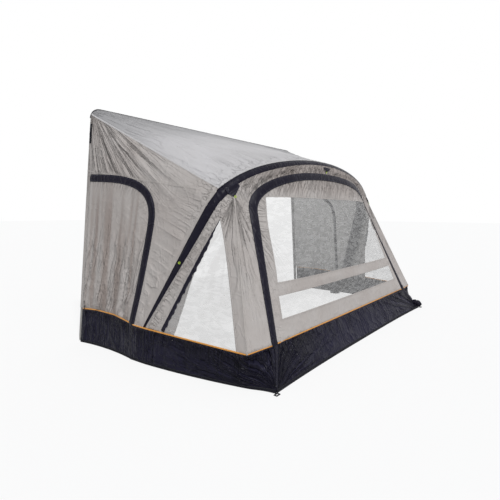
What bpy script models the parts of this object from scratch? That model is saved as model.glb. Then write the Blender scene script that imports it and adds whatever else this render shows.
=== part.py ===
"""A porch awning on one inflatable arch. The caravan wall is at the back and the front faces -Y.

The skin is sewn from cloth panels between the caravan rail and the arch. A panel reads its place from
one of the surfaces below, so it follows when the rail, the arch or a zip is moved.
"""

import math

import bmesh
import bpy
from mathutils import Matrix, Vector
from mathutils.geometry import delaunay_2d_cdt, interpolate_bezier

# Metres. A half size is measured from the middle, a depth forward from the caravan wall.
RAIL_HEIGHT = 2.43
RAIL_CORNER_ROUND = 0.11
REAR_FOOT_HALF = 2.10
REAR_EDGE_LEAN = 0.0925

# The outer face of the arch, from the top of the mudwall over the shoulder to the crown
LEG_INSET = 0.054
LEG_DEPTH = 1.071
SHOULDER_HALF = 1.656
SHOULDER_DEPTH = 1.519
SHOULDER_HEIGHT = 1.401
SHOULDER_HANDLE = 0.369
CROWN_HANDLE = 0.668
CROWN_DEPTH = 1.726
CROWN_HEIGHT = 1.898
BEAM_RADIUS = 0.075
BEAM_FOOT_INSET = 0.101
BEAM_FOOT_RAKE = 0.166
BEAM_CLEARANCE = 0.004
BEAM_SEAT = 0.0005
FOOT_HANDLE = 0.090
LEG_HANDLE = 0.050
LEG_BULGE = 0.014
LEG_BULGE_RAKE = 0.066
LEG_BULGE_REACH = 0.13
SLEEVE_WALL = 0.0015
BLADDER_WALL = 0.0012
BLADDER_CLEARANCE = 0.001
STRIP_HALF_LOW = 0.014
STRIP_HALF_HIGH = 0.047

# Heights of the orange piping on top of the mudwall
MUDWALL_REAR = 0.350
MUDWALL_LEG = 0.330
MUDWALL_FRONT = 0.282
CORNER_HALF = 1.885
CORNER_DEPTH = 2.122
PEG_HALF = 1.777
PEG_DEPTH = 2.321
FRONT_HEM_DEPTH = 2.288

# The zip-in front. Its slopes say how far it leans back per metre of height.
FRONT_FOOT_DEPTH = 2.145
FRONT_SLOPE_MIDDLE = 0.27
FRONT_SLOPE_ZIP = 0.41
ZIP_FOOT_HALF = 1.559
ZIP_LEAN = 0.2505
ZIP_LEG_TOP = 1.352
ZIP_HANDLE = 0.117
ZIP_CROWN_HANDLE = 1.135
ZIP_CROWN_HEIGHT = 1.749
WINDOW_TOP = 1.510
WINDOW_TOP_HALF = 1.055
WINDOW_SILL = 0.730
WINDOW_SILL_HALF = 1.300
LOW_WINDOW_TOP = 0.635
LOW_WINDOW_TOP_HALF = 1.330
LOW_WINDOW_SILL = 0.437
LOW_WINDOW_SILL_HALF = 1.372

# The doors, drawn in the side view as depth and height
HINGE_DEPTH = 0.050
DOOR_TOP = 1.700
DOOR_TOP_FRONT = (0.320, 1.686)
DOOR_TOP_HANDLE = (0.700, 1.660)
DOOR_SIDE_HANDLE = (0.935, 1.560)
DOOR_SIDE = (0.930, 1.250)
DOOR_FOOT_DEPTH = 0.895
DOOR_SLACK = 0.035
DOOR_PIPING_RISE = 0.022
FOLD = 0.010
FOLD_TURNS = 9.0
ROOF_SAG = 0.012
YOKE_SEAM_HEIGHT = 1.776

# The three-cornered window between the leg and the front corner
SIDE_WINDOW_APEX = (1.600, 1.300)
SIDE_WINDOW_REAR = 1.262
SIDE_WINDOW_FRONT = 2.035

# Cloth and trim
CLOTH = 0.003
FILM = 0.0015
SEAM = 0.0022
GAP = 0.0003
PIPING_RADIUS = 0.006
PIPING_END = 0.003
PIPING_TURN = 0.010
ZIP_GAP = 0.015
TAPE = 0.002
COVER_HALF = 0.037
SHELF = 0.050
COVER = 0.002
COVER_BULGE = 0.007
COVER_CLEARANCE = 0.0008
FRONT_COVER_CLEARANCE = 0.003
HINGE_GAP = 0.003
HEM_HEIGHT = 0.0016
HEM_AT_LEG = 0.002
HEM_AT_CORNER = 0.045
HEM_BOW = 0.022
PAD_THICKNESS = 0.025
PAD_REACH = 0.044
PAD_CORNER = 0.006
PAD_TOP_DROP = 0.310
KEDER_RADIUS = 0.004
TAB_HALF = 0.075
TAB_LENGTH = 0.075
TAB_CLEARANCE = 0.005
TAB_LIFT = 0.006
CROWN_TAB_LENGTH = 0.036
TAB_SEAT = 0.0012
CORD_RADIUS = 0.0025
RING_RADIUS = 0.009

# Small hardware
SLIDER = (0.012, 0.018, 0.006)
PULL = (0.007, 0.042, 0.002)
SLIDER_GAP = 0.0008
SLIDER_LEAN = 0.004
SLIDER_REST = 0.09
DOOR_SLIDER_RUN = 0.30
FOOT_WALL = 0.003
FOOT_HEIGHT = 0.055
VALVE_HEIGHT = 0.50
VALVE_NECK = 0.018
VALVE_BORE = 0.009
VALVE_FLANGE = 0.029
VALVE_BOSS = 0.021
VALVE_BOSS_HEIGHT = 0.010
VALVE_FLANGE_HEIGHT = 0.004
CAP_CLEARANCE = 0.0015
CAP_WALL = 0.0025
PEG_LOOP = (0.046, 0.030, 0.006)
PEG_LOOP_BAR = 0.007
PEG_LOOP_SHIFT = 0.012
STRAP_HALF = 0.014
STRAP_INSET = 0.004
STRAP_TOP_DROP = 0.170
STRAP_LENGTH = 0.200
LEG_LOOP_SHARE = 0.55

# How finely curves and cloth are divided
LEG_STEPS = 8
ARCH_STEPS = 14
CORNER_STEPS = 8
SIDES = 12
CLOTH_STEP = 0.115

LEG_HALF = REAR_FOOT_HALF - LEG_INSET
BEAM_FOOT_HALF = LEG_HALF - BEAM_FOOT_INSET
BEAM_FOOT_DEPTH = LEG_DEPTH - BEAM_FOOT_RAKE
PEG_SEAT = CLOTH / 2 + 2 * GAP
MIDDLE_Y = (PEG_DEPTH + PEG_SEAT + PEG_LOOP[1]) / 2
FRONT_HINGE_DEPTH = PEG_DEPTH + 2 * CLOTH
FRONT_HINGE_HEIGHT = PEG_LOOP[2] + CLOTH / 2
CAP_HINGE_HEIGHT = BEAM_RADIUS + 2 * GAP + VALVE_FLANGE_HEIGHT + COVER_CLEARANCE
CAP_HINGE_REACH = VALVE_BOSS + CAP_CLEARANCE + CAP_WALL + 0.002
MATERIALS = {}


def at(half, depth, height):
    """A point on the right-hand half of the awning."""
    return Vector((half, MIDDLE_Y - depth, height))


def material(name, colour, roughness, metallic=0.0):
    if name not in MATERIALS:
        made = bpy.data.materials.new(name)
        made.use_nodes = True
        shader = made.node_tree.nodes["Principled BSDF"]
        shader.inputs["Base Color"].default_value = (*colour, 1.0)
        shader.inputs["Roughness"].default_value = roughness
        shader.inputs["Metallic"].default_value = metallic
        MATERIALS[name] = made
    return MATERIALS[name]


def colour_of(kind):
    looks = {
        "roof_cloth": ((0.50, 0.48, 0.46), 0.75),
        "wall_cloth": ((0.46, 0.43, 0.40), 0.75),
        "navy_cloth": ((0.035, 0.035, 0.060), 0.60),
        "film": ((0.85, 0.85, 0.84), 0.15),
        "piping": ((0.75, 0.38, 0.10), 0.60),
        "tape": ((0.02, 0.02, 0.03), 0.70),
        "tube": ((0.55, 0.56, 0.58), 0.40),
        "plastic": ((0.03, 0.03, 0.03), 0.45),
        "hi_vis": ((0.45, 0.65, 0.10), 0.70),
        "foam": ((0.30, 0.29, 0.28), 0.90),
    }
    colour, roughness = looks[kind]
    return material(kind, colour, roughness)


class Route:
    """A line of points, read by the fraction of its length."""

    def __init__(self, points):
        self.points = list(points)
        self.marks = [0.0]
        for here, ahead in zip(self.points, self.points[1:]):
            self.marks.append(self.marks[-1] + (ahead - here).length)
        self.length = self.marks[-1]

    def at(self, fraction):
        wanted = min(max(fraction, 0.0), 1.0) * self.length
        for index in range(len(self.points) - 1):
            if wanted <= self.marks[index + 1] or index == len(self.points) - 2:
                run = self.marks[index + 1] - self.marks[index]
                return self.points[index].lerp(self.points[index + 1], (wanted - self.marks[index]) / run)


def share(value, low, high):
    return min(max((value - low) / (high - low), 0.0), 1.0)


def soft(value):
    return value * value * (3.0 - 2.0 * value)


def bezier(start, first, second, end, steps):
    return [point.copy() for point in interpolate_bezier(start, first, second, end, steps + 1)]


# The arch: its outer face, and which way the sleeve faces along it
LEG_FOOT = at(LEG_HALF, LEG_DEPTH, MUDWALL_LEG)
SHOULDER = at(SHOULDER_HALF, SHOULDER_DEPTH, SHOULDER_HEIGHT)
LEG_LINE = (SHOULDER - LEG_FOOT).normalized()
CROWN = at(0.0, CROWN_DEPTH, CROWN_HEIGHT)
ARCH = Route(
    [LEG_FOOT]
    + bezier(
        SHOULDER,
        SHOULDER + LEG_LINE * SHOULDER_HANDLE,
        at(CROWN_HANDLE, CROWN_DEPTH, CROWN_HEIGHT),
        CROWN,
        60,
    )
)
LEG_SHARE = (SHOULDER - LEG_FOOT).length / ARCH.length
ARCH_STEP = (1.0 - LEG_SHARE) / ARCH_STEPS
YOKE_SHARE = LEG_SHARE + ARCH_STEP
RIDGE_SHARE = LEG_SHARE + 1.4 * ARCH_STEP
TAB_SHARE = LEG_SHARE + 2.15 * ARCH_STEP
ROOF_SHARE = 0.62
FACING = (
    (0.0, Vector((0.95, -0.10, 0.30))),
    (LEG_SHARE, Vector((0.86, -0.48, 0.17))),
    (0.49, Vector((0.50, -0.77, 0.40))),
    (0.62, Vector((0.24, -0.90, 0.38))),
    (0.70, Vector((0.18, -0.88, 0.44))),
    (0.80, Vector((0.13, -0.84, 0.52))),
    (1.0, Vector((0.0, -0.80, 0.60))),
)


def arch_frame(fraction):
    """Where the arch's outer face is, the way it runs, the way it faces, and the way to the caravan."""
    place = ARCH.at(fraction)
    step = 0.004
    along = (ARCH.at(fraction + step) - ARCH.at(fraction - step)).normalized()
    if fraction >= 1.0:
        along = Vector((-1.0, 0.0, 0.0))
    for (low, first), (high, second) in zip(FACING, FACING[1:]):
        if fraction <= high or high == 1.0:
            facing = first.lerp(second, share(fraction, low, high))
            break
    facing = (facing - along * facing.dot(along)).normalized()
    back = facing.cross(along)
    if back.y < 0.0:
        back.negate()
    return place, along, facing, back


def strip_half(fraction):
    return STRIP_HALF_LOW + (STRIP_HALF_HIGH - STRIP_HALF_LOW) * share(fraction, 0.0, LEG_SHARE)


def arch_edge(fraction, way):
    """The edge of the cloth on the sleeve: way 1 is the caravan side, way -1 the front."""
    place, _, facing, back = arch_frame(fraction)
    turn = math.asin(strip_half(fraction) / BEAM_RADIUS)
    reach = BEAM_RADIUS + CLOTH / 2 + BEAM_SEAT
    return place - facing * BEAM_RADIUS + (facing * math.cos(turn) + back * (way * math.sin(turn))) * reach


def rear_half(height):
    return REAR_FOOT_HALF - REAR_EDGE_LEAN * height


RAIL_CORNER = at(rear_half(RAIL_HEIGHT), 0.0, RAIL_HEIGHT)
REAR_TOP = at(rear_half(RAIL_HEIGHT - RAIL_CORNER_ROUND), 0.0, RAIL_HEIGHT - RAIL_CORNER_ROUND)
RAIL_END = at(rear_half(RAIL_HEIGHT) - RAIL_CORNER_ROUND, 0.0, RAIL_HEIGHT)
REAR_SIDE = Route([at(rear_half(MUDWALL_REAR), 0.0, MUDWALL_REAR), REAR_TOP])
REAR_CORNER = Route(
    bezier(REAR_TOP, REAR_TOP.lerp(RAIL_CORNER, 0.6), RAIL_END.lerp(RAIL_CORNER, 0.6), RAIL_END, 12)
)
REAR_RAIL = Route([RAIL_END, at(0.0, 0.0, RAIL_HEIGHT)])


def rear_point(fraction):
    """The point of the caravan edge that the cloth runs to from this share of the arch."""
    if fraction <= LEG_SHARE:
        return REAR_SIDE.points[0].lerp(REAR_TOP, fraction / LEG_SHARE)
    if fraction <= ROOF_SHARE:
        return REAR_CORNER.at((fraction - LEG_SHARE) / (ROOF_SHARE - LEG_SHARE))
    return REAR_RAIL.at((fraction - ROOF_SHARE) / (1.0 - ROOF_SHARE))


def skin(fraction, reach):
    """The outer cloth from the caravan (reach 0) to the arch (reach 1)."""
    return rear_point(fraction).lerp(arch_edge(fraction, 1), reach)


CORNER_FOOT = at(CORNER_HALF, CORNER_DEPTH, MUDWALL_FRONT)
CORNER_TOP = arch_edge(TAB_SHARE, -1)


def side_front(rise, reach):
    """The cloth from the leg (reach 0) to the front corner (reach 1), up to the shoulder tab."""
    return arch_edge(rise * TAB_SHARE, -1).lerp(CORNER_FOOT.lerp(CORNER_TOP, rise), reach)


def solved(surface, depth, height, start):
    """The surface's point at this depth and height, found by Newton's steps."""
    first, second = start
    step = 1e-4
    for _ in range(9):
        here = surface(first, second)
        miss_y = MIDDLE_Y - depth - here.y
        miss_z = height - here.z
        if abs(miss_y) + abs(miss_z) < 1e-7:
            break
        by_first = (surface(first + step, second) - here) / step
        by_second = (surface(first, second + step) - here) / step
        scale = by_first.y * by_second.z - by_second.y * by_first.z
        first += (miss_y * by_second.z - miss_z * by_second.y) / scale
        second += (miss_z * by_first.y - miss_y * by_first.z) / scale
    return surface(first, second)


def wide_skin(fraction, reach):
    """The skin, carried on below the piping and past its edges in straight lines."""
    held = min(max(fraction, 0.0), 0.999)
    point = skin(held, reach)
    if held != fraction:
        point = point + (skin(0.02, reach) - skin(0.0, reach)) / 0.02 * (fraction - held)
    return point


def wide_side_front(rise, reach):
    held = min(max(rise, 0.0), 0.98)
    point = side_front(held, reach)
    if held != rise:
        near = 0.0 if rise < 0.0 else 0.96
        point = point + (side_front(near + 0.02, reach) - side_front(near, reach)) / 0.02 * (rise - held)
    return point


def side_place(depth, height):
    guess = share(height + 0.5 * depth, MUDWALL_REAR, RAIL_HEIGHT) * RIDGE_SHARE
    return solved(wide_skin, depth, height, (guess, share(depth, 0.0, SHOULDER_DEPTH)))


def side_front_place(depth, height):
    rise = share(height, MUDWALL_LEG, CORNER_TOP.z)
    low = LEG_DEPTH + (SHOULDER_DEPTH - LEG_DEPTH) * rise
    high = CORNER_DEPTH + (MIDDLE_Y - CORNER_TOP.y - CORNER_DEPTH) * rise
    return solved(wide_side_front, depth, height, (rise, share(depth, low, high)))


def front_place(half, height):
    """The zip-in front: straight lines fan up from the hem, steeper towards the zips."""
    rise = height - MUDWALL_FRONT
    side = half / (ZIP_FOOT_HALF - ZIP_LEAN * rise)
    slope = FRONT_SLOPE_MIDDLE + (FRONT_SLOPE_ZIP - FRONT_SLOPE_MIDDLE) * side**4
    return at(half, FRONT_FOOT_DEPTH - slope * rise, height)


# Outlines in two dimensions


def offset_line(points, distance, closed=False):
    """The line moved to its left by this distance."""
    moved = []
    count = len(points)
    for index, point in enumerate(points):
        before = points[index - 1] if index or closed else None
        after = points[(index + 1) % count] if index < count - 1 or closed else None
        lines = [(b - a).normalized() for a, b in ((before, point), (point, after)) if a and b]
        lefts = [Vector((-line.y, line.x)) for line in lines]
        left = (lefts[0] + lefts[-1]).normalized()
        moved.append(point + left * (distance / max(left.dot(lefts[0]), 0.35)))
    return moved


def divided(points, step):
    """The same line, with no run longer than the step."""
    finer = []
    for here, ahead in zip(points, points[1:]):
        count = max(1, math.ceil((ahead - here).length / step - 0.01))
        finer += [here.lerp(ahead, index / count) for index in range(count)]
    return finer + [points[-1]]


def area_of(loop):
    return sum(a.x * b.y - b.x * a.y for a, b in zip(loop, loop[1:] + loop[:1])) / 2


def inside(point, loop):
    found = False
    for a, b in zip(loop, loop[1:] + loop[:1]):
        if (a.y > point.y) != (b.y > point.y):
            if point.x < a.x + (b.x - a.x) * (point.y - a.y) / (b.y - a.y):
                found = not found
    return found


def edge_distance(point, loops):
    nearest = 10.0
    for loop in loops:
        for a, b in zip(loop, loop[1:] + loop[:1]):
            run = b - a
            along = share((point - a).dot(run), 0.0, max(run.length_squared, 1e-12))
            nearest = min(nearest, (point - a - run * along).length)
    return nearest


def region(outline, holes, step):
    """Points and triangles that fill an outline, with a loose grid inside it."""
    loops = [outline, *holes]
    points = [point for loop in loops for point in loop]
    edges = []
    start = 0
    for loop in loops:
        count = len(loop)
        edges += [(start + index, start + (index + 1) % count) for index in range(count)]
        start += count
    low_x = min(point.x for point in outline)
    high_x = max(point.x for point in outline)
    low_y = min(point.y for point in outline)
    high_y = max(point.y for point in outline)
    rows = int((high_y - low_y) / (step * 0.866)) + 1
    columns = int((high_x - low_x) / step) + 1
    for row in range(rows + 1):
        for column in range(columns + 1):
            across = low_x + (column + 0.5 * (row % 2)) * step
            point = Vector((across, low_y + row * step * 0.866))
            if inside(point, outline) and not any(inside(point, hole) for hole in holes):
                if edge_distance(point, loops) > 0.45 * step:
                    points.append(point)
    spots, _, faces, _, _, _ = delaunay_2d_cdt(points, edges, [], 1, 1e-6)
    kept = []
    for face in faces:
        middle = sum((spots[corner] for corner in face), Vector((0.0, 0.0))) / len(face)
        if not any(inside(middle, hole) for hole in holes):
            kept.append(list(face))
    return spots, kept


# Making objects


def finish(name, mesh, kind, mirrored=False, smooth=True):
    """An object from a bmesh, on the right-hand side or mirrored to the left."""
    if mirrored:
        bmesh.ops.scale(mesh, vec=(-1.0, 1.0, 1.0), verts=mesh.verts)
        bmesh.ops.reverse_faces(mesh, faces=mesh.faces)
    data = bpy.data.meshes.new(name)
    mesh.to_mesh(data)
    mesh.free()
    if smooth:
        data.shade_smooth()
        data.set_sharp_from_angle(angle=math.radians(40.0))
    made = bpy.data.objects.new(name, data)
    bpy.context.scene.collection.objects.link(made)
    data.materials.append(colour_of(kind))
    return made


def thicken(made, thickness, offset=0.0):
    wall = made.modifiers.new("cloth_thickness", "SOLIDIFY")
    wall.thickness = thickness
    wall.offset = offset
    return made


def face_outward(mesh, hint):
    """Turns a sheet over if it faces away from the hint."""
    total = Vector((0.0, 0.0, 0.0))
    for face in mesh.faces:
        total += face.normal * face.calc_area()
    if total.dot(hint) < 0.0:
        bmesh.ops.reverse_faces(mesh, faces=mesh.faces)


def sheet(name, outline, place, kind, hint, holes=(), step=CLOTH_STEP, thickness=CLOTH, mirrored=False):
    """Cloth cut to an outline, lifted onto its surface and given its thickness."""
    spots, faces = region(outline, list(holes), step)
    mesh = bmesh.new()
    corners = [mesh.verts.new(place(spot.x, spot.y)) for spot in spots]
    for face in faces:
        mesh.faces.new([corners[index] for index in face])
    loose = [vert for vert in mesh.verts if not vert.link_faces]
    bmesh.ops.delete(mesh, geom=loose, context="VERTS")
    mesh.normal_update()
    face_outward(mesh, hint)
    return thicken(finish(name, mesh, kind, mirrored), thickness)


def grid(rows, hint):
    """A sheet through rows of points, a row to each station."""
    mesh = bmesh.new()
    lines = [[mesh.verts.new(point) for point in row] for row in rows]
    for here, ahead in zip(lines, lines[1:]):
        for index in range(len(here) - 1):
            mesh.faces.new((here[index], here[index + 1], ahead[index + 1], ahead[index]))
    mesh.normal_update()
    face_outward(mesh, hint)
    return mesh


def normal_at(place, first, second, hint):
    step = 0.002
    by_first = place(first + step, second) - place(first - step, second)
    by_second = place(first, second + step) - place(first, second - step)
    normal = by_first.cross(by_second).normalized()
    return normal if normal.dot(hint) > 0.0 else -normal


def both_sides(build):
    """Builds a piece on the right and again, mirrored, on the left."""
    for side, mirrored in (("right", False), ("left", True)):
        build(side, mirrored)


def band(place, line, hint, reach, clearance, bulge):
    """Rows of points for a flap over a line, clear of the cloth and highest along its middle."""
    rows = []
    sides = offset_line(line, 1.0)
    for point, moved in zip(line, sides):
        across = (moved - point).normalized()
        row = []
        for share_across in (-1.0, -0.6, 0.0, 0.6, 1.0):
            spot = point + across * (share_across * reach)
            lift = clearance + bulge * (1.0 - share_across * share_across)
            row.append(place(spot.x, spot.y) + normal_at(place, spot.x, spot.y, hint) * lift)
        rows.append(row)
    return rows


def tape(place, line, hint, near, far):
    """A flat tape beside a zip line, from the near to the far distance."""
    mesh = bmesh.new()
    rings = []
    for inner, outer in zip(offset_line(line, near), offset_line(line, far)):
        ring = []
        for spot, way in ((inner, 1), (outer, 1), (outer, -1), (inner, -1)):
            normal = normal_at(place, spot.x, spot.y, hint)
            ring.append(mesh.verts.new(place(spot.x, spot.y) + normal * (way * TAPE / 2)))
        rings.append(ring)
    skin_rings(mesh, rings)
    mesh.faces.new(rings[0])
    mesh.faces.new(list(reversed(rings[-1])))
    bmesh.ops.recalc_face_normals(mesh, faces=mesh.faces)
    return mesh


def skin_rings(mesh, rings):
    for here, ahead in zip(rings, rings[1:]):
        count = len(here)
        for index in range(count):
            following = (index + 1) % count
            mesh.faces.new((here[index], here[following], ahead[following], ahead[index]))


def cord(name, points, radius, kind, mirrored=False, closed=False):
    """A round cord along a line of points."""
    curve = bpy.data.curves.new(name, "CURVE")
    curve.dimensions = "3D"
    curve.bevel_depth = radius
    curve.bevel_resolution = 1
    curve.use_fill_caps = not closed
    spline = curve.splines.new("POLY")
    spline.points.add(len(points) - 1)
    spline.use_cyclic_u = closed
    for knot, point in zip(spline.points, points):
        knot.co = (-point.x if mirrored else point.x, point.y, point.z, 1.0)
    made = bpy.data.objects.new(name, curve)
    bpy.context.scene.collection.objects.link(made)
    curve.materials.append(colour_of(kind))
    return made


def turned(name, profile, centre, axis, kind, steps=20):
    """A round piece from a profile of radius and height along an axis."""
    mesh = bmesh.new()
    around = axis.orthogonal().normalized()
    beside = axis.cross(around)
    rings = []
    for turn in range(steps):
        angle = 2 * math.pi * turn / steps
        out = around * math.cos(angle) + beside * math.sin(angle)
        rings.append([mesh.verts.new(centre + out * radius + axis * height) for radius, height in profile])
    for index, here in enumerate(rings):
        ahead = rings[(index + 1) % steps]
        count = len(profile)
        for spot in range(count):
            following = (spot + 1) % count
            mesh.faces.new((here[spot], ahead[spot], ahead[following], here[following]))
    bmesh.ops.recalc_face_normals(mesh, faces=mesh.faces)
    return finish(name, mesh, kind)


def block(mesh, centre, sizes, axes):
    """A box with its sizes along the three axes."""
    made = bmesh.ops.create_cube(mesh, size=1.0)["verts"]
    bmesh.ops.scale(mesh, vec=sizes, verts=made)
    turn = Matrix(axes).transposed().to_4x4()
    turn.translation = centre
    bmesh.ops.transform(mesh, matrix=turn, verts=made)
    return made


def cut(made, cutter):
    cutter.hide_render = True
    cutter.display_type = "WIRE"
    hole = made.modifiers.new("hole", "BOOLEAN")
    hole.operation = "DIFFERENCE"
    hole.solver = "EXACT"
    hole.object = cutter


# The lines that panels share


def zip_line():
    """The front zip from the right-hand mudwall to the crown, in step with its surround."""
    foot = Vector((ZIP_FOOT_HALF, MUDWALL_FRONT))
    top = Vector((ZIP_FOOT_HALF - ZIP_LEAN * (ZIP_LEG_TOP - MUDWALL_FRONT), ZIP_LEG_TOP))
    line = (top - foot).normalized()
    arch = bezier(
        top,
        top + line * ZIP_HANDLE,
        Vector((ZIP_CROWN_HANDLE, ZIP_CROWN_HEIGHT)),
        Vector((0.0, ZIP_CROWN_HEIGHT)),
        len(between(TAB_SHARE, 1.0)) - 1,
    )
    leg = [foot.lerp(top, index / CORNER_STEPS) for index in range(CORNER_STEPS)]
    return leg + [Vector((point.x, point.y)) for point in arch]


def beside_zip(reach):
    """The line this far outside the zip, with its foot on the piping too."""
    line = offset_line(zip_line(), -reach)
    line[0] = Vector((ZIP_FOOT_HALF + reach * math.hypot(1.0, ZIP_LEAN), MUDWALL_FRONT))
    return [front_place(spot.x, spot.y) for spot in line]


def whole_zip_line():
    half_line = zip_line()
    return half_line + [Vector((-point.x, point.y)) for point in reversed(half_line[:-1])]


def piping_height(depth):
    """The top of the mudwall along the side, falling towards the front corner."""
    if depth < LEG_DEPTH:
        return MUDWALL_REAR + (MUDWALL_LEG - MUDWALL_REAR) * depth / LEG_DEPTH
    return MUDWALL_LEG + (MUDWALL_FRONT - MUDWALL_LEG) * (depth - LEG_DEPTH) / (CORNER_DEPTH - LEG_DEPTH)


def door_line():
    """The door zip from the mudwall up and back to the hinge, as depth and height."""
    foot = Vector((DOOR_FOOT_DEPTH, piping_height(DOOR_FOOT_DEPTH)))
    round_top = bezier(
        Vector(DOOR_SIDE), Vector(DOOR_SIDE_HANDLE), Vector(DOOR_TOP_HANDLE), Vector(DOOR_TOP_FRONT), 8
    )
    round_top = [Vector((point.x, point.y)) for point in round_top]
    top = divided([round_top[-1], Vector((HINGE_DEPTH + HINGE_GAP, DOOR_TOP))], 0.14)
    return divided([foot, Vector(DOOR_SIDE)], 0.15) + round_top[1:] + top[1:]


def flat(point):
    return Vector((MIDDLE_Y - point.y, point.z))


def yoke_line():
    """The seam above the door, from the arch back to the caravan, as depth and height."""
    front = flat(skin(YOKE_SHARE, 1.0))
    return divided([front, Vector((KEDER_RADIUS * 2 + GAP, YOKE_SEAM_HEIGHT))], 0.15)


REAR_DEPTH = KEDER_RADIUS * 2 + GAP
OUT = Vector((1.0, 0.0, 0.1))
FORWARD = Vector((0.0, -1.0, 0.2))
UP = Vector((0.0, -0.2, 1.0))
AXIS_UP = Vector((0.0, 0.0, 1.0))


def arch_fractions():
    leg = [index / LEG_STEPS * LEG_SHARE for index in range(LEG_STEPS)]
    return leg + [LEG_SHARE + index * ARCH_STEP for index in range(ARCH_STEPS + 1)]


def between(low, high):
    """The arch's stations from one share to another, both ends included."""
    inner = [value for value in arch_fractions() if low + 0.004 < value < high - 0.004]
    return [low] + inner + [high]


def reaches(count):
    start = REAR_DEPTH / CROWN_DEPTH
    return [start + (1.0 - start) * index / count for index in range(count + 1)]


def roof_panel():
    rows = []
    for fraction in between(RIDGE_SHARE + 0.0012, 1.0):
        sag = Vector((0.0, 0.0, -ROOF_SAG * soft(share(fraction, RIDGE_SHARE, RIDGE_SHARE + 0.2))))
        rows.append([skin(fraction, reach) + sag * math.sin(math.pi * reach) for reach in reaches(9)])
    mirror = [[Vector((-point.x, point.y, point.z)) for point in row] for row in reversed(rows[:-1])]
    thicken(finish("roof_panel", grid(rows + mirror, UP), "roof_cloth"), CLOTH)


def yoke(side, mirrored):
    seam = yoke_line()
    rear_top = Vector((REAR_DEPTH, RAIL_HEIGHT - RAIL_CORNER_ROUND))
    rear = divided([seam[-1], rear_top], 0.2)[1:]
    ridge = [flat(skin(RIDGE_SHARE, reach)) for reach in reaches(9)]
    arch = [flat(skin(value, 1.0)) for value in reversed(between(YOKE_SHARE, RIDGE_SHARE))]
    outline = seam + rear + ridge + arch[1:-1]
    outline = offset_line(outline, SEAM if area_of(outline) > 0 else -SEAM, closed=True)
    sheet(f"side_yoke_{side}", outline, side_place, "wall_cloth", OUT, mirrored=mirrored)


def side_panel(side, mirrored):
    """The cloth below the yoke: a strip behind the door's hinge, and the wall in front of its zip."""
    zip_side = offset_line(door_line(), -ZIP_GAP + SEAM)
    foot_lift = PIPING_RADIUS + GAP - SEAM
    arch = [flat(skin(value, 1.0)) for value in between(0.004, YOKE_SHARE)]
    seam = yoke_line()
    rear_foot = Vector((REAR_DEPTH, piping_height(REAR_DEPTH) + foot_lift))
    hinge = HINGE_DEPTH - HINGE_GAP + SEAM
    hinge_top = Vector((hinge, zip_side[-1].y))
    hinge_foot = Vector((hinge, piping_height(hinge) + foot_lift))
    zip_foot = Vector((zip_side[0].x, piping_height(zip_side[0].x) + foot_lift))
    arch_foot = Vector((arch[0].x, piping_height(arch[0].x) + foot_lift))
    rear = divided([seam[-1], rear_foot], 0.16)
    outline = (
        [zip_foot, arch_foot]
        + [point for point in arch[:-1] if point.y > arch_foot.y + 0.01]
        + seam
        + rear[1:]
        + divided([hinge_foot, hinge_top], 0.16)
        + list(reversed(zip_side[1:-1]))
    )
    outline = offset_line(outline, SEAM if area_of(outline) > 0 else -SEAM, closed=True)
    sheet(f"side_panel_{side}", outline, side_place, "wall_cloth", OUT, mirrored=mirrored)


def door_place(depth, height):
    """The door lies on the side's surface and hangs slack near the ground."""
    point = side_place(depth, height)
    span = share(depth, HINGE_DEPTH, DOOR_FOOT_DEPTH)
    low = 1.0 - share(height, 0.0, DOOR_SIDE[1])
    fold = FOLD * math.sin(FOLD_TURNS * span * 2.0) * soft(low)
    point.x += (fold - DOOR_SLACK * low) * 4.0 * span * (1.0 - span)
    return point


def door_piping_height(depth):
    span = share(depth, HINGE_DEPTH, DOOR_FOOT_DEPTH)
    return piping_height(depth) + DOOR_PIPING_RISE * 4.0 * span * (1.0 - span)


def door_foot_line(lift, ends):
    """Along the door's piping, moved up by the lift, between the two ends."""
    first, last = ends
    return [
        Vector((depth, door_piping_height(depth) + lift))
        for depth in (first + (last - first) * index / 8 for index in range(9))
    ]


def door_panel(side, mirrored):
    zip_side = offset_line(door_line(), ZIP_GAP - SEAM)
    hinge = HINGE_DEPTH + HINGE_GAP - SEAM
    foot = door_foot_line(PIPING_RADIUS + GAP - SEAM, (zip_side[0].x, hinge))
    top = Vector((hinge, zip_side[-1].y))
    outline = foot + divided([foot[-1], top], 0.16)[1:] + list(reversed(zip_side[1:-1]))
    outline = offset_line(outline, SEAM if area_of(outline) > 0 else -SEAM, closed=True)
    sheet(f"door_panel_{side}", outline, door_place, "wall_cloth", OUT, mirrored=mirrored)


def door_piping(side, mirrored):
    ends = (DOOR_FOOT_DEPTH - ZIP_GAP - GAP * 4, HINGE_DEPTH + HINGE_GAP)
    line = [door_place(spot.x, spot.y) for spot in door_foot_line(0.0, ends)]
    cord(f"door_piping_{side}", line, PIPING_RADIUS, "piping", mirrored)


def wall_rows(tops, feet, push, hint, count=6):
    """Rows down a mudwall, from its piping to the ground, pushed out of its plane by its folds."""
    rows = []
    for index, (top, foot) in enumerate(zip(tops, feet)):
        run = tops[min(index + 1, len(tops) - 1)] - tops[max(index - 1, 0)]
        out = run.cross(foot - top).normalized()
        if out.dot(hint) < 0.0:
            out.negate()
        row = []
        for step in range(count + 1):
            fall = step / count
            point = top.lerp(foot, fall)
            row.append(point + out * (push(point, index) * math.sin(math.pi * fall)))
        rows.append(row)
    return rows


def beam_bulge(depth):
    """The mudwall is pushed out where the arch stands behind it."""
    return LEG_BULGE * math.exp(-(((depth - LEG_DEPTH + LEG_BULGE_RAKE) / LEG_BULGE_REACH) ** 2))


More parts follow.
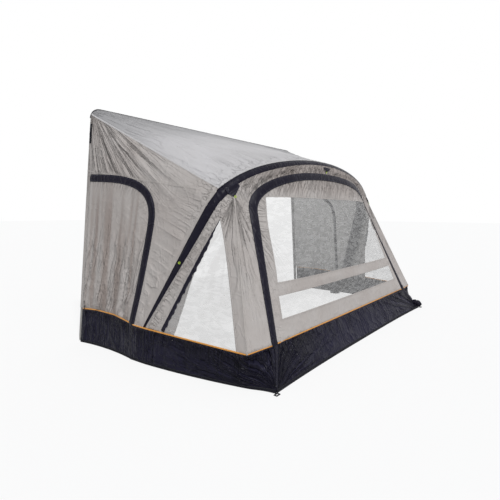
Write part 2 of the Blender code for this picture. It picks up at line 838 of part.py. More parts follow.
def gathered(point, half):
    """Folds that draw together at a front corner's peg."""
    run = math.hypot(point.x - half, MIDDLE_Y - point.y - PEG_DEPTH)
    angle = math.atan2(point.z, run)
    reach = math.hypot(run, point.z)
    fade = soft(share(reach, 0.0, 0.2)) * (1.0 - 0.5 * share(reach, 0.4, 1.4))
    return FOLD * math.sin(FOLD_TURNS * angle) * fade


def ground_half(depth):
    """How far out the side's hem lies on the ground: straight runs that bow out between leg and corner."""
    marks = (
        (0.0, REAR_FOOT_HALF, 0.0),
        (LEG_DEPTH, LEG_HALF + HEM_AT_LEG, HEM_BOW),
        (CORNER_DEPTH, CORNER_HALF - HEM_AT_CORNER, -HEM_BOW / 2),
        (PEG_DEPTH, PEG_HALF, 0.0),
    )
    for (low, first, bow), (high, second, _) in zip(marks, marks[1:]):
        if depth <= high:
            turn = (depth - low) / (high - low)
            return first + (second - first) * turn + bow * 4.0 * turn * (1.0 - turn)
    return PEG_HALF


def door_mudwall(side, mirrored):
    first = DOOR_FOOT_DEPTH - SEAM
    last = HINGE_DEPTH + HINGE_GAP
    tops = [
        door_place(spot.x, spot.y) for spot in door_foot_line(-PIPING_RADIUS - GAP, (first, last))
    ]
    feet = []
    hinge_low, hinge_high = hinge_line()
    for top in tops:
        depth = MIDDLE_Y - top.y
        span = share(depth, HINGE_DEPTH, DOOR_FOOT_DEPTH)
        slack = DOOR_SLACK * 4.0 * span * (1.0 - span)
        feet.append(at(ground_half(depth) - slack, depth, HEM_HEIGHT))
    fall = (HEM_HEIGHT - hinge_low.z) / (hinge_high.z - hinge_low.z)
    hinge_foot = hinge_low.lerp(hinge_high, fall)
    feet[-1] = hinge_foot + Vector((0.0, -HINGE_GAP, 0.0))

    def push(point, index):
        span = index / (len(tops) - 1)
        return FOLD * math.sin(FOLD_TURNS * span * 2.0) * 4.0 * span * (1.0 - span)

    mesh = grid(wall_rows(tops, feet, push, OUT), OUT)
    thicken(finish(f"door_mudwall_{side}", mesh, "navy_cloth", mirrored), CLOTH)


def hinge_line():
    """Two points on the door's hinge, at the piping and at the top of the door."""
    low = side_place(HINGE_DEPTH, piping_height(HINGE_DEPTH))
    high = side_place(HINGE_DEPTH, DOOR_TOP)
    return low, high


def door_zip(side, mirrored):
    """Both halves of the zip tape, and the flap over them, which is sewn to the door."""
    line = door_line()
    line[0] = line[0] + Vector((0.0, PIPING_RADIUS + GAP))
    door_half = tape(side_place, line, OUT, GAP, ZIP_GAP - GAP)
    finish(f"door_zip_tape_{side}", door_half, "tape", mirrored)
    wall_half = tape(side_place, line, OUT, -GAP, -ZIP_GAP + GAP)
    finish(f"side_zip_tape_{side}", wall_half, "tape", mirrored)
    flap = door_line()
    flap[0] = flap[0] + Vector((0.0, PIPING_RADIUS + 4 * GAP))
    flap[-1].x = HINGE_DEPTH + 4 * HINGE_GAP
    rows = band(side_place, flap, OUT, COVER_HALF, CLOTH / 2 + COVER_CLEARANCE, COVER_BULGE)
    mesh = grid(rows, OUT)
    thicken(finish(f"door_zip_cover_{side}", mesh, "navy_cloth", mirrored), COVER, 1.0)


def side_window(side, mirrored):
    """The wall in front of the leg, and the clear film in its three-cornered opening."""
    foot_lift = PIPING_RADIUS + GAP - SEAM
    leg = [flat(arch_edge(value, -1)) for value in between(0.004, TAB_SHARE)]
    corner = [flat(side_front(rise, 1.0)) for rise in (index / 9 for index in range(10))]
    leg[0] = Vector((leg[0].x, piping_height(leg[0].x) + foot_lift))
    corner[0] = Vector((corner[0].x, piping_height(corner[0].x) + foot_lift))
    rear = Vector((SIDE_WINDOW_REAR, piping_height(SIDE_WINDOW_REAR) + foot_lift))
    front = Vector((SIDE_WINDOW_FRONT, piping_height(SIDE_WINDOW_FRONT) + foot_lift))
    window = divided([front, Vector(SIDE_WINDOW_APEX), rear], 0.13)
    outline = leg + list(reversed(corner[:-1])) + window
    outline = offset_line(outline, SEAM if area_of(outline) > 0 else -SEAM, closed=True)
    sheet(f"side_front_{side}", outline, side_front_place, "wall_cloth", OUT, mirrored=mirrored)
    spread = SEAM - 2 * GAP
    apex = Vector(SIDE_WINDOW_APEX)
    low_front = front + (apex - front) * (2 * spread / (apex - front).y)
    low_rear = rear + (apex - rear) * (2 * spread / (apex - rear).y)
    film = [low_front] + window[1:-1] + divided([low_rear, low_front], 0.13)[:-1]
    film = offset_line(film, -spread if area_of(film) > 0 else spread, closed=True)
    name = f"side_window_{side}"
    sheet(name, film, side_front_place, "film", OUT, step=0.17, thickness=FILM, mirrored=mirrored)


def surround_rows():
    """Rows from the corner and the arch to the zip, corner to crown, flat beside the zip for its flap."""
    corner = [CORNER_FOOT.lerp(CORNER_TOP, index / CORNER_STEPS) for index in range(CORNER_STEPS)]
    outer = corner + [arch_edge(value, -1) for value in between(TAB_SHARE, 1.0)]
    shelf = beside_zip(SHELF)
    inner = beside_zip(ZIP_GAP + 2 * GAP)
    lift = Vector((0.0, 0.0, PIPING_RADIUS + GAP))
    for line in (outer, shelf, inner):
        line[0] = line[0] + lift
    rows = []
    for start, flat_edge, end in zip(outer, shelf, inner):
        start = start + (flat_edge - start).normalized() * SEAM
        rows.append([start.lerp(flat_edge, index / 3) for index in range(4)] + [end])
    return rows


def front_surround():
    rows = surround_rows()
    mirror = [[Vector((-point.x, point.y, point.z)) for point in row] for row in reversed(rows[:-1])]
    thicken(finish("front_surround", grid(rows + mirror, FORWARD), "wall_cloth"), CLOTH)


def window_loop(top, top_half, sill, sill_half):
    corners = [
        Vector((sill_half, sill)),
        Vector((top_half, top)),
        Vector((-top_half, top)),
        Vector((-sill_half, sill)),
        Vector((sill_half, sill)),
    ]
    return divided(corners, 0.2)[:-1]


def front_panel():
    """The zip-in front with its two windows."""
    edge = offset_line(whole_zip_line(), ZIP_GAP - SEAM)
    foot_height = MUDWALL_FRONT + PIPING_RADIUS + GAP - SEAM
    edge[0].y = foot_height
    edge[-1].y = foot_height
    outline = edge + divided([edge[-1], edge[0]], 0.2)[1:-1]
    upper = window_loop(WINDOW_TOP, WINDOW_TOP_HALF, WINDOW_SILL, WINDOW_SILL_HALF)
    lower = window_loop(LOW_WINDOW_TOP, LOW_WINDOW_TOP_HALF, LOW_WINDOW_SILL, LOW_WINDOW_SILL_HALF)
    outline = offset_line(outline, SEAM if area_of(outline) > 0 else -SEAM, closed=True)
    sheet("front_panel", outline, front_place, "wall_cloth", FORWARD, (upper, lower), step=0.16)
    for name, loop in (("front_window_upper", upper), ("front_window_lower", lower)):
        film = offset_line(loop, GAP * 2 if area_of(loop) > 0 else -GAP * 2, closed=True)
        sheet(name, film, front_place, "film", FORWARD, step=0.2, thickness=FILM)


def front_zip():
    """Both halves of the front zip tape, and the flap over them, which is sewn to the front."""
    line = whole_zip_line()
    for end in (0, -1):
        line[end] = line[end] + Vector((0.0, PIPING_RADIUS + GAP))
    finish("front_zip_tape_panel", tape(front_place, line, FORWARD, GAP, ZIP_GAP - GAP), "tape")
    finish("front_zip_tape_surround", tape(front_place, line, FORWARD, -GAP, -ZIP_GAP + GAP), "tape")
    rows = band(front_place, line, FORWARD, COVER_HALF, CLOTH / 2 + FRONT_COVER_CLEARANCE, COVER_BULGE)
    thicken(finish("front_zip_cover", grid(rows, FORWARD), "navy_cloth"), COVER, 1.0)


def piping_point(depth):
    """The side piping, which passes outside the sleeve."""
    leg_out = LEG_FOOT + arch_frame(0.0)[2] * (PIPING_RADIUS + BEAM_CLEARANCE)
    rear = at(rear_half(MUDWALL_REAR), 0.0, MUDWALL_REAR)
    if depth <= LEG_DEPTH:
        point = rear.lerp(leg_out, depth / LEG_DEPTH)
    else:
        point = leg_out.lerp(CORNER_FOOT, (depth - LEG_DEPTH) / (CORNER_DEPTH - LEG_DEPTH))
    return at(point.x, depth, piping_height(depth))


def zip_foot(reach):
    """A point on the front piping, this far outside the zip line."""
    return front_place(ZIP_FOOT_HALF + reach, MUDWALL_FRONT)


def side_piping(side, mirrored):
    last = CORNER_DEPTH - PIPING_TURN
    depths = [LEG_DEPTH + (last - LEG_DEPTH) * index / 4 for index in range(5)]
    line = [piping_point(depth) for depth in [DOOR_FOOT_DEPTH + ZIP_GAP + GAP] + depths]
    turn = CORNER_FOOT.lerp(zip_foot(0.0), 0.03)
    line += [turn, CORNER_FOOT.lerp(zip_foot(0.0), 0.4), zip_foot(COVER_HALF + PIPING_END)]
    cord(f"piping_side_{side}", line, PIPING_RADIUS, "piping", mirrored)


def front_piping():
    reach = ZIP_FOOT_HALF - COVER_HALF - PIPING_END
    line = [front_place(reach * (index / 7 - 1), MUDWALL_FRONT) for index in range(15)]
    cord("piping_front", line, PIPING_RADIUS, "piping")


def mudwall_side(side, mirrored):
    """Navy skirt from the door round the corner to the front peg, where its folds draw together."""
    drop = Vector((0.0, 0.0, -PIPING_RADIUS - GAP))
    tops = []
    feet = []
    first = DOOR_FOOT_DEPTH + SEAM
    leg_to_corner = [LEG_DEPTH + (CORNER_DEPTH - LEG_DEPTH) * index / 10 for index in range(10)]
    for depth in [first, (first + LEG_DEPTH) / 2] + leg_to_corner:
        tops.append(piping_point(depth) + drop)
        feet.append(at(ground_half(depth), depth, HEM_HEIGHT))
    corner_count = 6
    for index in range(corner_count + 1):
        turn = index / corner_count
        tops.append(CORNER_FOOT.lerp(zip_foot(SEAM), turn) + drop)
        depth = CORNER_DEPTH + (PEG_DEPTH - CORNER_DEPTH) * turn
        feet.append(at(ground_half(depth), depth, HEM_HEIGHT))

    def push(point, index):
        depth = MIDDLE_Y - point.y
        clear = soft(share(depth, LEG_DEPTH + 0.08, LEG_DEPTH + 0.35))
        if index == len(tops) - 1:
            clear = 0.0
        return beam_bulge(depth) + gathered(point, PEG_HALF) * clear

    mesh = grid(wall_rows(tops, feet, push, OUT + FORWARD * 0.3), OUT + FORWARD * 0.3)
    thicken(finish(f"mudwall_side_{side}", mesh, "navy_cloth", mirrored), CLOTH)


def mudwall_front():
    drop = Vector((0.0, 0.0, -PIPING_RADIUS - GAP))
    reach = ZIP_FOOT_HALF - SEAM
    tops = []
    feet = []
    count = 36
    for index in range(count + 1):
        turn = 2.0 * index / count - 1.0
        tops.append(front_place(reach * turn, MUDWALL_FRONT) + drop)
        depth = FRONT_HEM_DEPTH + (PEG_DEPTH - FRONT_HEM_DEPTH) * abs(turn) ** 3
        feet.append(at((PEG_HALF - 3 * SEAM) * turn, depth, HEM_HEIGHT))

    def push(point, index):
        clear = min(1.0, index / 2, (count - index) / 2)
        middle = FOLD * 0.4 * math.sin(FOLD_TURNS * point.x) * share(abs(point.x), PEG_HALF, PEG_HALF - 0.5)
        return (gathered(point, PEG_HALF if point.x > 0.0 else -PEG_HALF) + middle) * clear

    thicken(finish("mudwall_front", grid(wall_rows(tops, feet, push, FORWARD), FORWARD), "navy_cloth"), CLOTH)


# The inflated arch


def beam_stations():
    """Centre, run and facing of the tube, from the left foot over the crown to the right foot."""
    stations = []
    fractions = arch_fractions()
    for fraction in reversed(fractions[0:LEG_STEPS:2] + fractions[LEG_STEPS:]):
        place, along, facing, _ = arch_frame(fraction)
        stations.append((place - facing * BEAM_RADIUS, -along, facing))
    centre, run, facing = stations[-1]
    foot = at(BEAM_FOOT_HALF, BEAM_FOOT_DEPTH, 0.0)
    collar = foot + Vector((0.0, 0.0, FOOT_HEIGHT + GAP))
    upright = collar + Vector((0.0, 0.0, FOOT_HANDLE))
    lower = bezier(centre, centre + run * LEG_HANDLE, upright, collar, 5) + [foot]
    for here, ahead in zip(lower[1:], lower[2:] + [None]):
        down = (ahead - here).normalized() if ahead else Vector((0.0, 0.0, -1.0))
        stations.append((here, down, (facing - down * facing.dot(down)).normalized()))
    left = []
    for centre, run, facing in reversed(stations[1:]):
        flip = Vector((-1.0, 1.0, 1.0))
        left.append((centre * flip, -(run * flip), facing * flip))
    return left + stations


def ring_of(mesh, station, radius, sides):
    centre, run, facing = station
    beside = run.cross(facing).normalized()
    ring = []
    for index in range(sides):
        angle = 2 * math.pi * (index + 0.5) / sides
        ring.append(mesh.verts.new(centre + (facing * math.cos(angle) + beside * math.sin(angle)) * radius))
    return ring


def beam_sleeve():
    """The zip-up cloth sleeve: an open tube that stands in the two feet."""
    stations = beam_stations()
    lift = FOOT_WALL + GAP
    for end in (0, -1):
        centre, run, facing = stations[end]
        stations[end] = (Vector((centre.x, centre.y, lift)), run, facing)
    mesh = bmesh.new()
    outer = [ring_of(mesh, station, BEAM_RADIUS, SIDES) for station in stations]
    inner = [ring_of(mesh, station, BEAM_RADIUS - SLEEVE_WALL, SIDES) for station in stations]
    skin_rings(mesh, outer)
    skin_rings(mesh, inner)
    for end in (0, -1):
        skin_rings(mesh, [outer[end], inner[end]])
    bmesh.ops.recalc_face_normals(mesh, faces=mesh.faces)
    made = finish("beam_sleeve", mesh, "navy_cloth")
    cut(made, valve_hole("sleeve_hole"))


def beam_bladder():
    """The airtight tube inside the sleeve, with round ends and the hole for its valve."""
    stations = beam_stations()
    radius = BEAM_RADIUS - SLEEVE_WALL - BLADDER_CLEARANCE
    stations = stations[1:-1]
    mesh = bmesh.new()
    sides = SIDES
    for wall in (0.0, BLADDER_WALL):
        rings = []
        for station, way in ((stations[0], -1.0), (stations[-1], 1.0)):
            centre, run, facing = station
            dome = []
            for angle in (75.0, 50.0, 25.0):
                turn = math.radians(angle)
                out = (radius - wall) * math.sin(turn) * 0.5
                place = (centre + run * (way * out), run, facing)
                dome.append(ring_of(mesh, place, (radius - wall) * math.cos(turn), sides))
            pole = mesh.verts.new(centre + run * (way * (radius - wall) * 0.5))
            for index in range(sides):
                mesh.faces.new((dome[0][index], dome[0][(index + 1) % sides], pole))
            rings.append(dome)
        body = [ring_of(mesh, station, radius - wall, sides) for station in stations]
        skin_rings(mesh, rings[0] + body + list(reversed(rings[1])))
    bmesh.ops.recalc_face_normals(mesh, faces=mesh.faces)
    made = finish("beam_bladder", mesh, "tube")
    cut(made, valve_hole("bladder_hole"))


def valve_frame():
    """Where the valve sits on the left leg: a point on the sleeve and the way it faces, into the awning."""
    stations = [station for station in beam_stations() if station[0].x < 0.0]
    low, high = [
        (here, ahead)
        for here, ahead in zip(stations, stations[1:])
        if here[0].z <= VALVE_HEIGHT < ahead[0].z
    ][0]
    turn = (VALVE_HEIGHT - low[0].z) / (high[0].z - low[0].z)
    centre = low[0].lerp(high[0], turn)
    facing = -low[2].lerp(high[2], turn).normalized()
    return centre, facing, low[1]


def valve_hole(name):
    centre, facing, _ = valve_frame()
    profile = [(VALVE_NECK + 2 * GAP, BEAM_RADIUS * 0.6), (VALVE_NECK + 2 * GAP, BEAM_RADIUS * 1.3)]
    mesh = bmesh.new()
    around = facing.orthogonal().normalized()
    beside = facing.cross(around)
    rings = []
    for radius, height in profile:
        ring = []
        for index in range(16):
            angle = 2 * math.pi * index / 16
            out = around * math.cos(angle) + beside * math.sin(angle)
            ring.append(mesh.verts.new(centre + out * radius + facing * height))
        rings.append(ring)
    skin_rings(mesh, rings)
    mesh.faces.new(rings[0])
    mesh.faces.new(list(reversed(rings[-1])))
    bmesh.ops.recalc_face_normals(mesh, faces=mesh.faces)
    return finish(name, mesh, "plastic", smooth=False)


def valve():
    """The screw-in air valve and its hinged cap."""
    centre, facing, _ = valve_frame()
    base = BEAM_RADIUS + 2 * GAP
    top = base + VALVE_FLANGE_HEIGHT
    boss = top + VALVE_BOSS_HEIGHT
    neck_end = BEAM_RADIUS * 0.72
    profile = [
        (VALVE_BORE, neck_end),
        (VALVE_NECK, neck_end),
        (VALVE_NECK, base),
        (VALVE_FLANGE, base),
        (VALVE_FLANGE, top),
        (VALVE_BOSS, top),
        (VALVE_BOSS, boss - 0.001),
        (VALVE_BOSS - 0.001, boss),
        (VALVE_BORE, boss),
    ]
    turned("valve_body", profile, centre, facing, "plastic")
    inner = VALVE_BOSS + CAP_CLEARANCE
    outer = inner + CAP_WALL
    lid = boss + COVER_CLEARANCE
    lip = top + COVER_CLEARANCE
    cap = [
        (0.002, lid),
        (inner, lid),
        (inner, lip),
        (outer, lip),
        (outer, lid + CAP_WALL - 0.001),
        (outer - 0.001, lid + CAP_WALL),
        (0.002, lid + CAP_WALL),
    ]
    turned("valve_cap", cap, centre, facing, "plastic")


def beam_foot(side, mirrored):
    """A moulded cup under each end of the arch, with an ear for a ground peg."""
    centre = at(BEAM_FOOT_HALF, BEAM_FOOT_DEPTH, 0.0)
    steps = 24
    inner = BEAM_RADIUS / math.cos(math.pi / steps) + 2 * GAP
    outer = inner + FOOT_WALL
    mesh = bmesh.new()
    drain = 0.02
    profile = [(drain, 0.0), (outer, 0.0), (outer, FOOT_HEIGHT)]
    profile += [(inner, FOOT_HEIGHT), (inner, FOOT_WALL), (drain, FOOT_WALL)]
    rings = []
    for turn in range(steps):
        angle = 2 * math.pi * turn / steps
        out = Vector((math.cos(angle), math.sin(angle), 0.0))
        rings.append([mesh.verts.new(centre + out * radius + AXIS_UP * height) for radius, height in profile])
    for index, here in enumerate(rings):
        ahead = rings[(index + 1) % steps]
        for spot in range(len(profile)):
            following = (spot + 1) % len(profile)
            mesh.faces.new((here[spot], ahead[spot], ahead[following], here[following]))
    bmesh.ops.recalc_face_normals(mesh, faces=mesh.faces)
    finish(f"beam_foot_{side}", mesh, "plastic", mirrored)


# Trim on the caravan side, tabs and cords


def rear_pad(side, mirrored):
    """A foam strip that presses against the caravan wall, from the ground to the rail corner."""
    mesh = bmesh.new()
    rings = []
    corner = PAD_CORNER
    lean = CLOTH / 2 + 3 * GAP
    for height in (0.0, MUDWALL_REAR, 0.75, 1.15, 1.5, YOKE_SEAM_HEIGHT, RAIL_HEIGHT - PAD_TOP_DROP):
        near = side_place(REAR_DEPTH, height).x - lean
        far = side_place(PAD_REACH, height).x - lean
        ring = [
            at(near, corner, height),
            at(far, PAD_REACH - corner, height),
            at(far - corner, PAD_REACH, height),
            at(far - PAD_THICKNESS + corner, PAD_REACH, height),
            at(far - PAD_THICKNESS, PAD_REACH - corner, height),
            at(near - PAD_THICKNESS, corner, height),
            at(near - PAD_THICKNESS + corner, 0.0, height),
            at(near - corner, 0.0, height),
        ]
        rings.append([mesh.verts.new(point) for point in ring])
    skin_rings(mesh, rings)
    mesh.faces.new(rings[0])
    mesh.faces.new(list(reversed(rings[-1])))
    bmesh.ops.recalc_face_normals(mesh, faces=mesh.faces)
    finish(f"rear_pad_{side}", mesh, "foam", mirrored)


def keder():
    """The bead that slides into the caravan's awning rail."""
    half_line = [REAR_CORNER.at(index / 6) for index in range(7)]
    half_line += [REAR_RAIL.at(index / 5) for index in range(1, 6)]
    shift = Vector((0.0, -KEDER_RADIUS - GAP / 2, 0.0))
    right = [point + shift for point in half_line]
    left = [Vector((-point.x, point.y, point.z)) for point in reversed(right[:-1])]
    cord("keder_bead", right + left, KEDER_RADIUS, "tape")


def rail_strap(side, mirrored):
    """The webbing that pulls the awning along the rail, sewn down below its corner."""
    top = RAIL_HEIGHT - STRAP_TOP_DROP
    inset = STRAP_HALF + REAR_DEPTH + STRAP_INSET
    line = [Vector((inset, top - STRAP_LENGTH * index / 3)) for index in range(4)]
    rows = []
    for point in line:
        row = []
        for reach in (-STRAP_HALF, 0.0, STRAP_HALF):
            spot = (point.x + reach, point.y)
            lift = CLOTH / 2 + COVER_CLEARANCE
            row.append(side_place(*spot) + normal_at(side_place, *spot, OUT) * lift)
        rows.append(row)
    thicken(finish(f"rail_strap_{side}", grid(rows, OUT), "tape", mirrored), COVER, 1.0)


def tab(name, fractions, tip, mirrored=False, whole=False):
    """A three-cornered tab, sewn to the sleeve and drawn to a tip that carries a guying loop."""
    lines = [[], [], []]
    for value in fractions:
        place, _, facing, _ = arch_frame(value)
        edge = arch_edge(value, -1)
        centre = place - facing * BEAM_RADIUS
        out = (edge - centre).normalized()
        lines[0].append(place + facing * TAB_SEAT)
        lines[1].append(centre + (facing + out).normalized() * (BEAM_RADIUS + TAB_SEAT))
        lines[2].append(edge + out * TAB_CLEARANCE)
    if whole:
        flip = Vector((-1.0, 1.0, 1.0))
        lines = [[point * flip for point in reversed(line[1:])] + line for line in lines]
    on_edge = lines[2]
    middle = on_edge[len(on_edge) // 2]
    normal = (on_edge[-1] - on_edge[0]).cross(tip - middle).normalized()
    if normal.y > 0.0:
        normal.negate()
    rows = list(lines)
    for index in range(1, 4):
        turn = index / 3.6
        out = normal * (TAB_LIFT * math.sin(math.pi * turn))
        rows.append([point.lerp(tip + normal * TAB_CLEARANCE, turn) + out for point in on_edge])
    thicken(finish(name, grid(rows, FORWARD), "navy_cloth", mirrored), COVER, 1.0)
    across = (rows[-1][-1] - rows[-1][0]).normalized()
    down = (tip - middle).normalized()
    down = (down - across * across.dot(down)).normalized()
    top = rows[-1][len(on_edge) // 2] + down * 2 * GAP
    cord(name.replace("tab", "loop"), ring_points(top, down, across), CORD_RADIUS, "hi_vis", mirrored, True)


def shoulder_tab(side, mirrored):
    spread = TAB_HALF / ARCH.length
    fractions = [TAB_SHARE + spread * (index / 3 - 1) for index in range(7)]
    tip = CORNER_TOP + (CORNER_FOOT - CORNER_TOP).normalized() * TAB_LENGTH
    tab(f"guy_tab_{side}", fractions, tip, mirrored)


def crown_tab():
    spread = TAB_HALF / ARCH.length
    edge = arch_edge(1.0, -1)
    zip_top = front_place(0.0, ZIP_CROWN_HEIGHT + SHELF)
    tip = edge + (zip_top - edge).normalized() * CROWN_TAB_LENGTH
    fractions = [1.0 - spread * index / 3 for index in range(4)]
    tab("guy_tab_centre", fractions, tip, whole=True)


def ring_points(top, down, across):
    """A small round loop that hangs from a point."""
    centre = top + down * (RING_RADIUS + CORD_RADIUS)
    points = []
    for index in range(10):
        angle = 2 * math.pi * index / 10
        points.append(centre + (down * math.cos(angle) + across * math.sin(angle)) * RING_RADIUS)
    return points


def leg_loop(side, mirrored):
    """A guying loop a little over half way up the leg, on the edge of the sleeve."""
    place, along, facing, _ = arch_frame(LEG_LOOP_SHARE * LEG_SHARE)
    flat_face = BEAM_RADIUS * (1.0 - math.cos(math.pi / SIDES))
    top = place + facing * (CORD_RADIUS + 2 * GAP - flat_face)
    points = ring_points(top, -along, along.cross(facing).normalized())
    cord(f"leg_loop_{side}", points, CORD_RADIUS, "hi_vis", mirrored, closed=True)


def peg_loop(side, mirrored):
    """A flat loop for a ground peg, lying at the front corner of the hem."""
    width, reach, height = PEG_LOOP
    bar = PEG_LOOP_BAR
    front = PEG_DEPTH + PEG_SEAT
    middle = PEG_HALF + PEG_LOOP_SHIFT
    mesh = bmesh.new()
    loops = []
    for inset in (0.0, bar):
        half = width / 2 - inset
        far = reach - inset
        loops.append([(-half, inset), (half, inset), (half, far), (-half, far)])
    levels = []
    for level in (0.0, height):
        levels.append([[mesh.verts.new(at(middle + x, front + y, level)) for x, y in loop] for loop in loops])
    for index in range(4):
        following = (index + 1) % 4
        for wall in (0, 1):
            low, high = levels[0][wall], levels[1][wall]
            mesh.faces.new((low[index], low[following], high[following], high[index]))
        for level in levels:
            mesh.faces.new((level[0][index], level[0][following], level[1][following], level[1][index]))
    bmesh.ops.recalc_face_normals(mesh, faces=mesh.faces)
    finish(f"peg_loop_{side}", mesh, "tape", mirrored)


# Zip sliders, which run inside the awning


def slider(name, centre, run, inward, mirrored):
    """A slider body on the zip and the pull that hangs from it."""
    across = run.cross(inward).normalized()
    width, length, height = SLIDER
    pull_width, pull_length, pull_height = PULL
    base = TAPE / 2 + SLIDER_GAP
    mesh = bmesh.new()
    block(mesh, centre + inward * (base + height / 2), (width, length, height), (across, run, inward))
    made = finish(name, mesh, "plastic", smooth=False)
    bevel = made.modifiers.new("rounded", "BEVEL")
    bevel.width = 0.0015
    bevel.segments = 2
    pull = bmesh.new()
    drop = centre + inward * (base + height - pull_height) - run * (length * 0.3 + pull_length / 2)
    block(pull, drop, (pull_width, pull_length, pull_height), (across, run, inward))
    tongue = finish(f"{name}_pull", pull, "plastic", smooth=False)
    tongue.hide_render = True
    tongue.display_type = "WIRE"
    join = made.modifiers.new("pull", "BOOLEAN")
    join.operation = "UNION"
    join.solver = "EXACT"
    join.object = tongue
    if mirrored:
        for piece in (made, tongue):
            for vert in piece.data.vertices:
                vert.co.x = -vert.co.x
            piece.data.flip_normals()


def front_slider_frame():
    """Where the front's zip slider rests, the way it runs, and the way into the awning."""
    place = front_place(*leg_spot(SLIDER_REST))
    run = (front_place(*leg_spot(1.0)) - front_place(*leg_spot(0.0))).normalized()
    inward = -normal_at(front_place, *leg_spot(0.3), FORWARD)
    inward = (inward - run * inward.dot(run)).normalized()
    return place, (run + inward * SLIDER_LEAN).normalized(), inward


def front_slider(side, mirrored):
    slider(f"front_zip_slider_{side}", *front_slider_frame(), mirrored)


def leg_spot(rise):
    """A point on the straight leg of the front zip, as half and height."""
    height = MUDWALL_FRONT + (ZIP_LEG_TOP - MUDWALL_FRONT) * rise
    return (ZIP_FOOT_HALF - ZIP_LEAN * (height - MUDWALL_FRONT), height)


def door_slider_frame():
    """Where the door's zip slider rests, the way it runs, and the way into the awning."""
    low = Vector((DOOR_FOOT_DEPTH, piping_height(DOOR_FOOT_DEPTH)))
    rise = (Vector(DOOR_SIDE) - low).normalized()
    spot = low + rise * (SLIDER_REST * (Vector(DOOR_SIDE) - low).length)
    middle = spot + rise * (DOOR_SLIDER_RUN / 2)
    ahead = spot + rise * DOOR_SLIDER_RUN
    place = side_place(spot.x, spot.y)
    run = (side_place(ahead.x, ahead.y) - place).normalized()
    inward = -normal_at(side_place, middle.x, middle.y, OUT)
    inward = (inward - run * inward.dot(run)).normalized()
    return place, (run + inward * SLIDER_LEAN).normalized(), inward


def door_slider(side, mirrored):
    slider(f"door_zip_slider_{side}", *door_slider_frame(), mirrored)


def hang(name, pivot, pieces):
    """Parents moving pieces to an empty on their joint's axis, without moving them."""
    empty = bpy.data.objects.new(name, None)
    empty.location = pivot
    empty.empty_display_size = 0.05
    bpy.context.scene.collection.objects.link(empty)
    for piece in pieces:
        made = bpy.data.objects[piece]
        made.parent = empty
        made.matrix_parent_inverse = Matrix.Translation(pivot).inverted()


def hang_all():
    front = ("front_panel", "front_window_upper", "front_window_lower", "front_zip_cover")
    front += ("front_zip_tape_panel", "piping_front", "mudwall_front")
    hang("front_hinge", at(0.0, FRONT_HINGE_DEPTH, FRONT_HINGE_HEIGHT), front)
    centre, facing, along = valve_frame()
    hang("valve_cap_hinge", centre + facing * CAP_HINGE_HEIGHT + along * CAP_HINGE_REACH, ("valve_cap",))
    for side, way in (("right", 1), ("left", -1)):
        flip = Vector((way, 1.0, 1.0))
        door = ("door_panel", "door_piping", "door_mudwall", "door_zip_tape", "door_zip_cover")
        low, high = hinge_line()
        hang(f"door_hinge_{side}", low.lerp(high, 0.5) * flip, [f"{piece}_{side}" for piece in door])
        for zip_name, frame in (("door", door_slider_frame()), ("front", front_slider_frame())):
            hang(f"{zip_name}_slider_{side}_run", frame[0] * flip, [f"{zip_name}_zip_slider_{side}"])


def clear_scene():
    for old in list(bpy.data.objects):
        bpy.data.objects.remove(old, do_unlink=True)


def main():
    clear_scene()
    roof_panel()
    front_surround()
    front_panel()
    front_zip()
    front_piping()
    mudwall_front()
    beam_sleeve()
    beam_bladder()
    valve()
    keder()
    crown_tab()
    for build in (
        yoke,
        side_panel,
        side_window,
        mudwall_side,
        side_piping,
        door_panel,
        door_piping,
        door_mudwall,
        door_zip,
        beam_foot,
        rear_pad,
        rail_strap,
        shoulder_tab,
        leg_loop,
        peg_loop,
        front_slider,
        door_slider,
    ):
        both_sides(build)
    hang_all()


main()
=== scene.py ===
import math
from contextlib import contextmanager

import bmesh
import bpy
from mathutils import Matrix, Vector, noise
from mathutils.bvhtree import BVHTree
from mathutils.kdtree import KDTree


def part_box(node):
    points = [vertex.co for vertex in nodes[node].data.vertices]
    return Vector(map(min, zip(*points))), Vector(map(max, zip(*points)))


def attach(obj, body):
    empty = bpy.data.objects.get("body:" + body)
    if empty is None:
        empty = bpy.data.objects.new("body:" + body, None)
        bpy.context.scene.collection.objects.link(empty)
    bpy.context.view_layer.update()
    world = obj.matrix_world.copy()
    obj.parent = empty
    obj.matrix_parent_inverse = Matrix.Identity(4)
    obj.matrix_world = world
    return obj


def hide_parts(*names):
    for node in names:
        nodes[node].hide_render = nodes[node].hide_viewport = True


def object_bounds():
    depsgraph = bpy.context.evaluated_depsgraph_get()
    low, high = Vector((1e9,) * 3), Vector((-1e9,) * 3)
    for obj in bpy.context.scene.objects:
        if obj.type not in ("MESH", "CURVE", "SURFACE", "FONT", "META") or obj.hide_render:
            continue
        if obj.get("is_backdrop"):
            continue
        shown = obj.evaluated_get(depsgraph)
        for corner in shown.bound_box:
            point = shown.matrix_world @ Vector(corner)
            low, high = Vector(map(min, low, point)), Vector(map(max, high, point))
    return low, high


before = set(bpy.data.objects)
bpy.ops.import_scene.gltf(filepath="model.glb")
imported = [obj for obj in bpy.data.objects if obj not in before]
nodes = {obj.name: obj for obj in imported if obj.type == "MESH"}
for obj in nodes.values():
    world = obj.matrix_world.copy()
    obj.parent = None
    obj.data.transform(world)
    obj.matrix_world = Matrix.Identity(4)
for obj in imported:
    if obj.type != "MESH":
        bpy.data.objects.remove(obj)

noise.seed_set(7)    # the same dents on each run
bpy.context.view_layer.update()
bothSides = (("left", -1), ("right", 1))
sides = ("left", "right")
print("frame loaded,", len(nodes), "nodes")


# Small tools

def soft(value):
    value = min(max(value, 0.0), 1.0)
    return value * value * (3.0 - 2.0 * value)


def wave(x, y, z):
    return noise.noise(Vector((x, y, z)))


